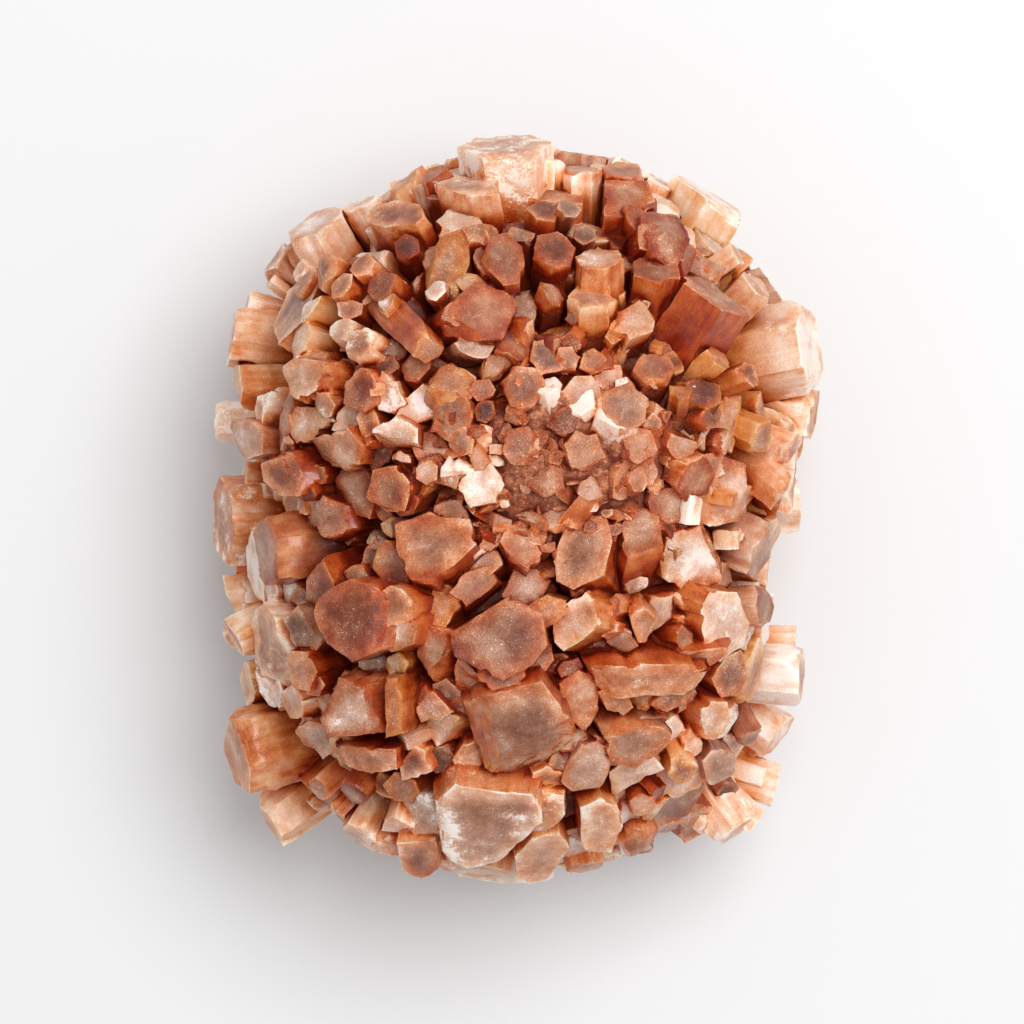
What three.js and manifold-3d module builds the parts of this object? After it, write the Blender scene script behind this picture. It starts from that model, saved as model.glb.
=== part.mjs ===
// Aragonite sputnik cluster: one ball of stubby pseudo-hexagonal prisms that grew outwards from two
// hearts close together and closed over them. The prisms overlap at their roots, so it is one solid.
// It lies on a small flat spot, where the lowest crystals all end in one plane.
//
// Millimetres, +Z up. X and Y are measured from the middle of the cluster as seen from above, and the
// finished piece is then set with the middle of its box over the origin and its flat spot at Z = 0.

import * as THREE from "three";
import { mergeVertices } from "three/addons/utils/BufferGeometryUtils.js";
import Module from "manifold-3d";

// ---- Driving dimensions ------------------------------------------------------------------------

const HEART_HEIGHT = 23.5; // how high both hearts lie over the flat spot
const HEARTS = [
  { x: 1.7, y: 8.7, reach: 29.5 }, // reach: from the heart to the crystal tips round it
  { x: -0.3, y: -10.8, reach: 28.0 },
];
const FLATNESS = 0.9; // the ball's height over its width
const CORE_SHARE = 0.85; // how much of the reach the crystals have filled solid
const LENGTH = 17; // a prism, from its tip to its root inside the core
const ROOT_SHARE = 0.94; // a root's width over its tip's
const CORNER_RADIUS = 0.55; // a corner's distance from the axis, over the width across the flats
const CORNER_WANDER = 0.09; // how far a corner strays from a regular hexagon
const TIP_SLOPE = 0.07; // the most that an end face leans from square

// ---- Crystals whose end faces show, given by the outline of the face as seen from above ---------
// outline: corners [x, y]; lean: [compass angle from +X, tilt from upright] in degrees, the way that
// the crystal points; lift: how far the face stands over the ball's own surface.

const FACES = [
  // the big hexagons in front of the lower heart
  {
    lift: 1.5,
    lean: [200, 6],
    outline: [
      [-6.8, -11.4], [-0.5, -7.4], [3.2, -9.4], [3.8, -12.8], [2.2, -15], [-1, -16.8], [-6.1, -14.2],
    ],
  },
  {
    lift: 1,
    lean: [276, 24],
    outline: [
      [-5, -19.3], [-3, -17.4], [2.8, -15.9], [5.5, -19.3], [6.5, -22.6], [3, -26.6], [-0.5, -27.2],
      [-2.9, -25.6],
    ],
  },
  {
    lift: 1,
    lean: [262, 38],
    outline: [
      [-8.3, -28.3], [-5.8, -25.8], [-2.3, -26.3], [3, -27.1], [3.3, -30.6], [0.7, -33.3], [-1.3, -35.4],
      [-5.8, -35.6], [-7.5, -33.3],
    ],
  },
  {
    lift: 0,
    lean: [262, 56],
    outline: [[-11.6, -32.8], [-7.6, -32.6], [-7.1, -35.8], [-9.3, -36.6], [-11.1, -35.6]],
  },
  {
    lift: 2,
    lean: [186, 33],
    outline: [
      [-19.4, -7.8], [-15.5, -6], [-13.5, -6.7], [-11.6, -8.8], [-11.7, -11.3], [-12.4, -13.3],
      [-16, -14.8], [-18.2, -12.9], [-19.6, -9.8],
    ],
  },
  {
    lift: 0.5,
    lean: [125, 26],
    outline: [
      [-11.5, -0.8], [-8.8, 0.5], [-6.8, -0.3], [-4, -0.5], [-3.3, -3.1], [-7.5, -6.8], [-10.1, -6.4],
      [-11.3, -3.6],
    ],
  },
  {
    lift: -1.5,
    lean: [80, 14],
    outline: [[-6.3, -7.8], [-5, -5.6], [-2.1, -4.9], [-0.8, -6.6], [-2.3, -7.8], [-4.5, -9.4]],
  },
  {
    lift: -1,
    lean: [75, 20],
    outline: [
      [-1.4, -2.8], [-0.5, -0.6], [1.2, 0.5], [3.2, 0], [3.6, -2.1], [2.7, -4.8], [1.4, -5.8],
      [-0.3, -4.8],
    ],
  },
  {
    lift: 0.5,
    lean: [130, 24],
    outline: [[3.7, -3.3], [5.2, 0], [9.2, 0.4], [9.9, -2.8], [9, -6.3], [5.7, -7.8], [3.7, -6.8]],
  },
  {
    lift: 1,
    lean: [175, 22],
    outline: [[3.2, -9.3], [7, -7.1], [9, -8.8], [8.8, -11.3], [4.7, -13.6], [3, -12]],
  },
  {
    lift: 0,
    lean: [85, 34],
    outline: [[10, 0], [12.7, 1], [14.5, -0.3], [14.9, -3.3], [10.7, -4.8], [9.9, -3.3]],
  },
  {
    lift: -1,
    lean: [300, 24],
    outline: [
      [4.7, -26.3], [5.4, -24.3], [6.7, -22.5], [8.7, -22.3], [9.9, -23.8], [9.2, -26.3], [7.7, -27.6],
      [5.9, -27.4],
    ],
  },
  {
    lift: 0,
    lean: [305, 28],
    outline: [
      [7.9, -21], [9.2, -19.6], [11.7, -20], [14.7, -20.4], [16.2, -21.6], [14.2, -23.6], [11.9, -25.2],
      [9.5, -24.5],
    ],
  },
  {
    lift: 0.5,
    lean: [300, 34],
    outline: [
      [7, -15.2], [8.7, -14.4], [12.7, -14], [17.7, -14.3], [19.9, -15], [18.7, -17], [16.7, -18.5],
      [12.7, -18.2], [9.2, -18.6], [7.7, -17.3],
    ],
  },
  {
    lift: 0.5,
    lean: [330, 40],
    outline: [
      [13.9, -4.8], [15.2, -1.8], [18.7, -0.8], [22.2, -3.3], [22.7, -5.3], [20.2, -7.3], [16.7, -8.5],
      [14.2, -6.8],
    ],
  },
  {
    lift: 1,
    lean: [340, 46],
    outline: [
      [17.7, -8.8], [18.9, -7.1], [22.2, -7.4], [23.9, -10.8], [23.2, -13.3], [20.2, -15.1],
      [18.7, -13.8], [18, -11.8],
    ],
  },
  {
    lift: 0,
    lean: [290, 28],
    outline: [[10.9, -9.8], [12.7, -9.1], [14.3, -10.3], [13.9, -12], [13.2, -13], [11.9, -12.9]],
  },
  {
    lift: -0.8,
    lean: [280, 25],
    outline: [[8.7, -11.8], [9.9, -10.5], [11.5, -11.5], [12.2, -13], [10.5, -14], [9, -13.3]],
  },
  {
    lift: 1,
    lean: [200, 30],
    outline: [[-19.2, -20], [-17, -15.6], [-13.3, -16], [-12.7, -18.8], [-12.8, -22], [-18.3, -22.3]],
  },
  {
    lift: 0.6,
    lean: [200, 30],
    outline: [[-12.7, -15.6], [-11.1, -15.6], [-10.5, -17.8], [-10.7, -21.8], [-12.5, -22.1]],
  },
  {
    lift: -0.5,
    lean: [215, 34],
    outline: [[-18.3, -22.6], [-10.9, -22.6], [-10.8, -25.3], [-14.1, -26], [-16.3, -25.3]],
  },
  {
    lift: 0,
    lean: [290, 48],
    outline: [[14.8, -25.8], [15.5, -24.5], [16.7, -24], [18.4, -25], [17.9, -26.6], [16.2, -27.3]],
  },
  {
    lift: 0.5,
    lean: [310, 48],
    outline: [
      [18.4, -24.6], [19.9, -23], [21.5, -23.3], [23, -24.6], [22.2, -26.6], [20.2, -28], [19, -27.3],
    ],
  },
  {
    lift: 0,
    lean: [290, 42],
    outline: [
      [6.5, -28.8], [8.5, -27.8], [10.5, -28.6], [11.1, -30.8], [9.9, -33.8], [7.7, -34.3], [6.7, -32.6],
    ],
  },
  {
    lift: 0,
    lean: [280, 52],
    outline: [
      [-0.1, -33.8], [1.7, -31.6], [4.7, -31], [5.9, -33.3], [4.2, -36.6], [2.2, -37.6], [0.2, -36.6],
    ],
  },
  // round the upper heart
  {
    lift: 0,
    lean: [118, 54],
    outline: [
      [-15.1, 29], [-13.9, 30.8], [-11.3, 31.2], [-8.9, 30.6], [-8, 29.1], [-9.3, 27.7], [-12.8, 27.5],
      [-14.7, 28.2],
    ],
  },
  {
    lift: 0.5,
    lean: [102, 60],
    outline: [
      [-8.3, 32.2], [-5.8, 33.2], [-3.8, 33.4], [-1.8, 32.2], [-1.3, 31.2], [-4.3, 30.9], [-7.3, 31.4],
    ],
  },
  {
    lift: 0.5,
    lean: [82, 54],
    outline: [[9, 32.8], [13.2, 32.6], [14.3, 30.9], [11.7, 29.9], [8.9, 29.6]],
  },
  {
    lift: 2,
    lean: [52, 32],
    outline: [
      [12.7, 29.6], [13.9, 30.5], [16.9, 30], [18.1, 27.4], [17.3, 25], [16.3, 23.6], [13.5, 24.8],
      [12.8, 27.2],
    ],
  },
  {
    lift: 0,
    lean: [95, 28],
    outline: [
      [-3.5, 25], [-2.7, 26.5], [-0.7, 27.2], [1, 26], [1.3, 24], [0.7, 22], [-1, 21.7], [-2.6, 23.2],
    ],
  },
  {
    lift: 0.5,
    lean: [30, 22],
    outline: [
      [-6.6, 19], [-4.8, 21.2], [-3.3, 22.5], [-0.6, 21.5], [1.2, 19.2], [-0.8, 16.2], [-3.3, 16.2],
      [-5.8, 17.2],
    ],
  },
  {
    lift: -0.5,
    lean: [85, 28],
    outline: [[-8.6, 12], [-8, 13.4], [-5.8, 14.6], [-3.5, 13], [-3.9, 10.7], [-6.8, 10.5]],
  },
  {
    lift: -0.5,
    lean: [150, 8],
    outline: [[-4.3, 11.5], [-3.7, 12.7], [-2.3, 12.8], [-1.6, 11.7], [-2.1, 10.7], [-3.5, 10.5]],
  },
  {
    lift: -0.5,
    lean: [200, 8],
    outline: [[-3.9, 10], [-3.1, 10.8], [-1.9, 10.7], [-1.5, 9.4], [-2.3, 8.2], [-3.8, 8.4]],
  },
  {
    lift: 0.5,
    lean: [60, 30],
    outline: [[9.5, 17.7], [10.2, 20], [12.2, 20.9], [14.2, 19.4], [13.7, 17.2], [11.2, 16.2]],
  },
  {
    lift: 0,
    lean: [170, 46],
    outline: [
      [-23.3, 14.4], [-21.3, 15.6], [-17.8, 15], [-17.2, 12.7], [-19.3, 11.2], [-21, 10.3], [-23, 11.4],
    ],
  },
  {
    lift: 0.5,
    lean: [184, 56],
    outline: [[-29, 8], [-28.1, 9.6], [-26, 9.4], [-24.7, 7.6], [-25.1, 5.6], [-26.8, 5.1], [-28.8, 5.7]],
  },
  {
    lift: 1,
    lean: [195, 44],
    outline: [
      [-25.5, 5], [-22.8, 6.2], [-21, 5.6], [-20.1, 3.2], [-20.8, 1.2], [-23.3, 1.2], [-25.1, 2.7],
    ],
  },
];

// ---- Crystals that show mostly their sides, and the smaller ones, given by the middle of the tip ----
// [x, y, width across the flats, lift, compass angle, tilt]. With no angles, it points straight out.

const PRISMS = [
  // the rim, from the left round the top to the right and back along the bottom
  [-30.5, 9.2, 4.6, -6, 180, 95], [-27.9, 12.4, 5.2, 3, 182, 74], [-28.5, 17.9, 6.8, 1, 172, 80],
  [-27.3, 21.2, 3.8, -3, 165, 80], [-24.5, 25.7, 4.6, -1, 145, 80], [-20.1, 29.1, 7.2, 3, 120, 72],
  [-11.3, 33.2, 5.4, -3, 122, 80], [-7.8, 33.4, 3.4, 1, 112, 62], [-6.1, 35.6, 4.2, -4, 105, 80],
  [-3, 32.9, 3.6, -1, 95, 66], [-0.8, 36.4, 9.6, 2, 95, 74], [6.7, 33.9, 4.6, -2, 90, 78],
  [9.2, 34.9, 3.8, -5, 95, 84], [10.9, 33.9, 4.6, 0, 88, 62], [19.7, 32.2, 9, 2, 59, 80],
  [24.2, 22.5, 4.6, 0, 45, 66], [29.5, 16.7, 9.2, 4, 12, 74], [30.2, 10, 6.2, -1, 350, 76],
  [27.7, 6, 4.2, 0, 340, 68], [26.9, 1.5, 4.6, 0, 318, 72], [29, 0.7, 5.6, -7, 0, 90],
  [24.7, -4.1, 6, 0.5, 335, 64], [25, -9.3, 4.8, 0, 5, 68], [29.3, -16.3, 6.2, 2, 356, 80],
  [27.2, -23, 5.4, -3, 325, 74], [27.1, -28.3, 5, -5, 342, 84], [22.7, -32.6, 5.4, -1, 305, 76],
  [18.5, -31.6, 6.4, 0.5, 308, 52], [12.7, -33.4, 4.6, 0, 290, 58], [7.4, -35.6, 4.4, -3, 285, 72],
  [-15.3, -32.4, 4.6, 0, 240, 62], [-25.1, -31.6, 6, -3, 215, 76], [-28.1, -24.3, 8.8, 2, 194, 69],
  [-27.3, -17.8, 5.6, -4, 186, 74], [-29.1, -13.8, 3.8, -7, 210, 92], [-28.1, -12.8, 5, 1, 205, 78],
  [-29.5, -8.5, 4.8, -4, 184, 84], [-24.6, -4.1, 8, 1, 188, 66], [-29.7, -0.8, 9.4, -2, 182, 75],
  [-27.5, 3.4, 3.8, -2, 175, 74],
  // inside the rim, upper heart
  [-18.8, 24, 4, 1, 150, 45], [-16.3, 6, 4.8, 0, 190, 35], [-14.8, 11.5, 4.4, 0, 190, 30],
  [-11.3, 6.7, 5, 0, 200, 20], [-3, 27.5, 4, -0.5, 100, 40], [-8, 15.5, 3.8, 0, 315, 42],
  [1, 12, 4.4, 0], [-5.8, 9.2, 4.8, -0.5], [-12.8, 22, 4, 0], [3.2, 29.4, 3.8, -1],
  [3.9, 25.4, 4.6, 0, 90, 35], [8.3, 24.4, 5, 1, 90, 58], [13.9, 23.6, 6, 0, 82, 52],
  [7.5, 20.9, 5, 0, 92, 52], [3.9, 21.2, 3.8, -1], [19.3, 24.5, 4.6, -0.5, 40, 48],
  [19.7, 21.4, 8.4, 1, 56, 66], [13.7, 14, 4.2, -0.5, 70, 30], [6.7, 11.2, 4.6, 0],
  [10.7, 10, 5.6, 1, 30, 15], [6.9, 5.7, 4.6, 0], [12, 6.4, 3.8, 0], [12.5, 3.8, 3.8, -1],
  [16.3, 6.5, 3.8, 0], [24.4, 7.2, 4, 0, 335, 50], [17.7, 3.2, 4.8, 0, 330, 40], [-14.8, 16.2, 4, 0],
  [0.7, 6.2, 4, 0], [3.2, 3.2, 3.8, 0], [3.4, 15, 4.4, -0.5], [18.4, 11.6, 4.6, -0.5, 60, 34],
  // inside the rim, lower heart
  [-12, 2, 5, 0, 200, 30], [-3, 2.7, 4.8, 0], [-18.3, -0.6, 4.8, -0.5, 180, 45],
  [-20.8, -11.6, 4.6, -1.5, 190, 38], [-21, -15.6, 4.6, -1, 195, 40], [-20.1, -22.6, 4.2, -0.5, 205, 45],
  [-6.6, -17.8, 3.6, -3, 220, 30], [-10.9, -27.1, 4, -2, 230, 35], [19.5, -20.4, 4.8, 0, 320, 38],
  [21.5, -16, 4.8, 0, 340, 42],
];

// ---- Crystals on the sides and underneath: the widest first, then narrower ones where there is room ----

const FILL_WIDTHS = [11, 9, 7.5]; // across the flats, a round for each
const FILL_ROUND = 230; // places that each round tries
const FILL_CROWDING = 0.47; // how near two tips may come, over the sum of their widths
const FILL_REACH = 0.95; // how far out they come, over the hearts' reach
const UNDERSIDE = -0.75; // below this share of the height they come all the way out, to lie on
const GOLDEN_ANGLE = Math.PI * (3 - Math.sqrt(5));

// ---- Geometry -----------------------------------------------------------------------------------

const UP = new THREE.Vector3(0, 0, 1);
const radians = THREE.MathUtils.degToRad;

// A repeatable run of random numbers from 0 to 1, the same for the same seed.
function dice(seed) {
  const modulus = 2147483647;
  let state = ((Math.round(seed) % modulus) + modulus) % modulus || 1;
  const roll = () => (state = (state * 16807) % modulus) / modulus;
  roll();
  roll();
  return roll;
}

// The ball's own surface over a point in plan: the height of the higher of the two domes.
function domeHeight(x, y) {
  const rises = HEARTS.map((h) => Math.max(0, h.reach ** 2 - (x - h.x) ** 2 - (y - h.y) ** 2));
  return HEART_HEIGHT + FLATNESS * Math.sqrt(Math.max(...rises));
}

// The point on the line between the hearts that a tip grew from.
function rootOf(tip) {
  const [a, b] = HEARTS.map((h) => new THREE.Vector3(h.x, h.y, HEART_HEIGHT));
  return new THREE.Line3(a, b).closestPointToPoint(tip, true, new THREE.Vector3());
}

// The way a crystal points: as its lean says, or straight out from the hearts.
function axisOf(tip, lean) {
  if (!lean) return tip.clone().sub(rootOf(tip)).normalize();
  const [compass, tilt] = lean.map(radians);
  return new THREE.Vector3(
    Math.sin(tilt) * Math.cos(compass),
    Math.sin(tilt) * Math.sin(compass),
    Math.cos(tilt),
  );
}

// The crystal's own frame: its axis, and two directions across it of which the first is level.
function frameOf(axis) {
  const across = new THREE.Vector3().crossVectors(UP, axis);
  if (across.length() < 1e-3) across.set(1, 0, 0);
  across.normalize();
  return { across, over: new THREE.Vector3().crossVectors(axis, across), axis };
}

// An end face's corners in the crystal's own frame, from its outline in plan.
function cornersFromOutline(outline, tip, { across, over, axis }) {
  const corners = outline.map(([x, y]) => {
    const fall = (axis.x * (x - tip.x) + axis.y * (y - tip.y)) / axis.z;
    const offset = new THREE.Vector3(x - tip.x, y - tip.y, -fall);
    return new THREE.Vector2(offset.dot(across), offset.dot(over));
  });
  return THREE.ShapeUtils.area(corners) < 0 ? corners.reverse() : corners;
}

// The corners of a hexagon that is a little out of true.
function cornersFromWidth(width, roll) {
  const spin = roll() * Math.PI;
  return Array.from({ length: 6 }, (_, k) => {
    const angle = spin + (k * Math.PI) / 3 + (roll() - 0.5) * 2 * CORNER_WANDER;
    const radius = width * CORNER_RADIUS * (1 + (roll() - 0.5) * 2 * CORNER_WANDER);
    return new THREE.Vector2(radius * Math.cos(angle), radius * Math.sin(angle));
  });
}

// One prism: its outline drawn out along the axis, narrower at the root, the end face a little aslope.
function prism({ tip, frame, corners, slope }) {
  const geometry = new THREE.ExtrudeGeometry(new THREE.Shape(corners), {
    depth: LENGTH,
    bevelEnabled: false,
  });
  const place = geometry.getAttribute("position");
  for (let i = 0; i < place.count; i++) {
    const [x, y] = [place.getX(i), place.getY(i)];
    if (place.getZ(i) > LENGTH / 2) place.setZ(i, LENGTH + slope[0] * x + slope[1] * y);
    else place.setXY(i, x * ROOT_SHARE, y * ROOT_SHARE);
  }
  const foot = tip.clone().addScaledVector(frame.axis, -LENGTH);
  const matrix = new THREE.Matrix4().makeBasis(frame.across, frame.over, frame.axis);
  return geometry.applyMatrix4(matrix.setPosition(foot));
}

// A crystal from the middle of its tip, its lean and a way to draw its corners.
function crystal(tip, lean, drawCorners) {
  const roll = dice(tip.x * 131 + tip.y * 977 + tip.z * 31 + 5000);
  const frame = frameOf(axisOf(tip, lean));
  const corners = drawCorners(frame, roll);
  const slope = [(roll() - 0.5) * 2 * TIP_SLOPE, (roll() - 0.5) * 2 * TIP_SLOPE];
  return { tip, frame, corners, slope };
}

function faceCrystals() {
  return FACES.map(({ outline, lean, lift }) => {
    const x = outline.reduce((sum, p) => sum + p[0], 0) / outline.length;
    const y = outline.reduce((sum, p) => sum + p[1], 0) / outline.length;
    const tip = new THREE.Vector3(x, y, domeHeight(x, y) + lift);
    const placed = crystal(tip, lean, (frame) => cornersFromOutline(outline, tip, frame));
    const width = 2 * Math.sqrt(THREE.ShapeUtils.area(placed.corners) / Math.PI);
    return { ...placed, width };
  });
}

function prismCrystals() {
  return PRISMS.map(([x, y, width, lift, compass, tilt]) => {
    const tip = new THREE.Vector3(x, y, domeHeight(x, y) + lift);
    const lean = compass === undefined ? undefined : [compass, tilt];
    return { ...crystal(tip, lean, (_, roll) => cornersFromWidth(width, roll)), width };
  });
}

// Tries places spread evenly over both domes, above and below, and keeps those with room.
function fillCrystals(placed) {
  const all = [...placed];
  FILL_WIDTHS.forEach((width, round) => {
    for (let k = 0; k < FILL_ROUND; k++) {
      const heart = HEARTS[k % 2];
      const rise = 1 - (2 * (k + 0.5)) / FILL_ROUND;
      const turn = GOLDEN_ANGLE * k + round;
      const reach = heart.reach * (rise > UNDERSIDE ? FILL_REACH : 1);
      const level = Math.sqrt(1 - rise * rise) * reach;
      const tip = new THREE.Vector3(
        heart.x + level * Math.cos(turn),
        heart.y + level * Math.sin(turn),
        HEART_HEIGHT + FLATNESS * reach * rise,
      );
      const other = HEARTS[(k + 1) % 2];
      const [dx, dy, dz] = [tip.x - other.x, tip.y - other.y, (tip.z - HEART_HEIGHT) / FLATNESS];
      const sunken = Math.hypot(dx, dy, dz) < other.reach * FILL_REACH;
      const crowded = all.some((c) => c.tip.distanceTo(tip) < FILL_CROWDING * (c.width + width));
      if (sunken || crowded) continue;
      all.push({ ...crystal(tip, undefined, (_, roll) => cornersFromWidth(width, roll)), width });
    }
  });
  return all;
}

// ---- One solid ------------------------------------------------------------------------------------

const wasm = await Module();
wasm.setup();

function solidOf(geometry) {
  const bare = geometry.clone();
  bare.deleteAttribute("normal");
  bare.deleteAttribute("uv");
  const merged = mergeVertices(bare, 1e-4);
  return new wasm.Manifold(
    new wasm.Mesh({
      numProp: 3,
      vertProperties: merged.getAttribute("position").array,
      triVerts: new Uint32Array(merged.index.array),
    }),
  );
}

function geometryOf(solid) {
  const { vertProperties, triVerts } = solid.getMesh();
  const geometry = new THREE.BufferGeometry();
  geometry.setAttribute("position", new THREE.BufferAttribute(vertProperties, 3));
  geometry.setIndex(new THREE.BufferAttribute(triVerts, 1));
  geometry.computeVertexNormals();
  return geometry;
}

// The filled middle that every root is sunk in.
function core() {
  return HEARTS.map(({ x, y, reach }) => {
    const ball = new THREE.IcosahedronGeometry(reach * CORE_SHARE, 3);
    return ball.scale(1, 1, FLATNESS).translate(x, y, HEART_HEIGHT);
  });
}

function clusterGeometry() {
  const crystals = fillCrystals([...faceCrystals(), ...prismCrystals()]);
  const joined = wasm.Manifold.union([...core(), ...crystals.map(prism)].map(solidOf));
  const below = new THREE.BoxGeometry(200, 200, 100).translate(0, 0, -50);
  const cut = joined.subtract(solidOf(below));
  // The outer skin alone: gaps that closed over between the roots are filled.
  const [skin] = cut.decompose().sort((a, b) => b.volume() - a.volume());
  return geometryOf(skin);
}

const aragonite = new THREE.MeshStandardMaterial({ color: "#b9714c", roughness: 0.55, metalness: 0 });

const cluster = new THREE.Mesh(clusterGeometry(), aragonite);
cluster.name = "aragonite_cluster";
cluster.geometry.computeBoundingBox();
const middle = cluster.geometry.boundingBox.getCenter(new THREE.Vector3());
cluster.position.set(-middle.x, -middle.y, 0);

const group = new THREE.Group();
group.name = "aragonite_sputnik_cluster";
group.add(cluster);

export default group;
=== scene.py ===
# %% [markdown]
# # A cluster of aragonite crystals, the kind called a sputnik
# Aragonite from red clay grows as short six-sided prisms that start at one point and push outwards
# on all sides, so the whole lump bristles. This one has two hearts close together. It was found
# loose, so there are crystals all round it, and it lies on a few of the lowest. The lesson builds
# it in the order that nature did: the hearts, the big prisms, the small ones that filled the gaps,
# and last the red dust. All lengths are in millimetres until a mesh is made.

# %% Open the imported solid
import itertools
import math

import bmesh
import bpy
import numpy as np
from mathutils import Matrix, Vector
from mathutils.bvhtree import BVHTree


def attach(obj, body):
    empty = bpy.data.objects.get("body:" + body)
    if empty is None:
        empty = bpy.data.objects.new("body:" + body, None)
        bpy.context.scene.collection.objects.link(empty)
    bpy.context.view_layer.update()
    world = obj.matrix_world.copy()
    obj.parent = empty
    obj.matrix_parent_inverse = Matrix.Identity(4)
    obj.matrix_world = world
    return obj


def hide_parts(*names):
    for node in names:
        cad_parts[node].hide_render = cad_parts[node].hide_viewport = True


MM = 0.001
NODE = "aragonite_cluster"
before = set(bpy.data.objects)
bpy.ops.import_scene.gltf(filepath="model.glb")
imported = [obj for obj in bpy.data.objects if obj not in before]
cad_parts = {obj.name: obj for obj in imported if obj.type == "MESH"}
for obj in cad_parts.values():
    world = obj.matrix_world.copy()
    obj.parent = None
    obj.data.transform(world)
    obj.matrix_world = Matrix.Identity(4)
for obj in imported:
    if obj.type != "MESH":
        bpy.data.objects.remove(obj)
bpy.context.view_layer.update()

# %% [markdown]
# ## Where the crystals stand
# A crystal's end face is what the eye reads first, so the big ones are written down as the outline
# of that face seen from above. The smaller ones, and those seen from the side, only need the
# middle of their tip and a width. Each has a tone, a word for the colour of that one crystal: two
# that touch are often quite different. These are the same measures as the solid's, so the two
# agree.

# %% The ball that the tips lie on
HEART_HEIGHT = 23.5
HEARTS = np.array([[1.7, 8.7], [-0.3, -10.8]])
REACHES = np.array([29.5, 28.0])
FLATNESS = 0.9
LENGTH = 17
ROOT_SHARE = 0.94

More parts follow.
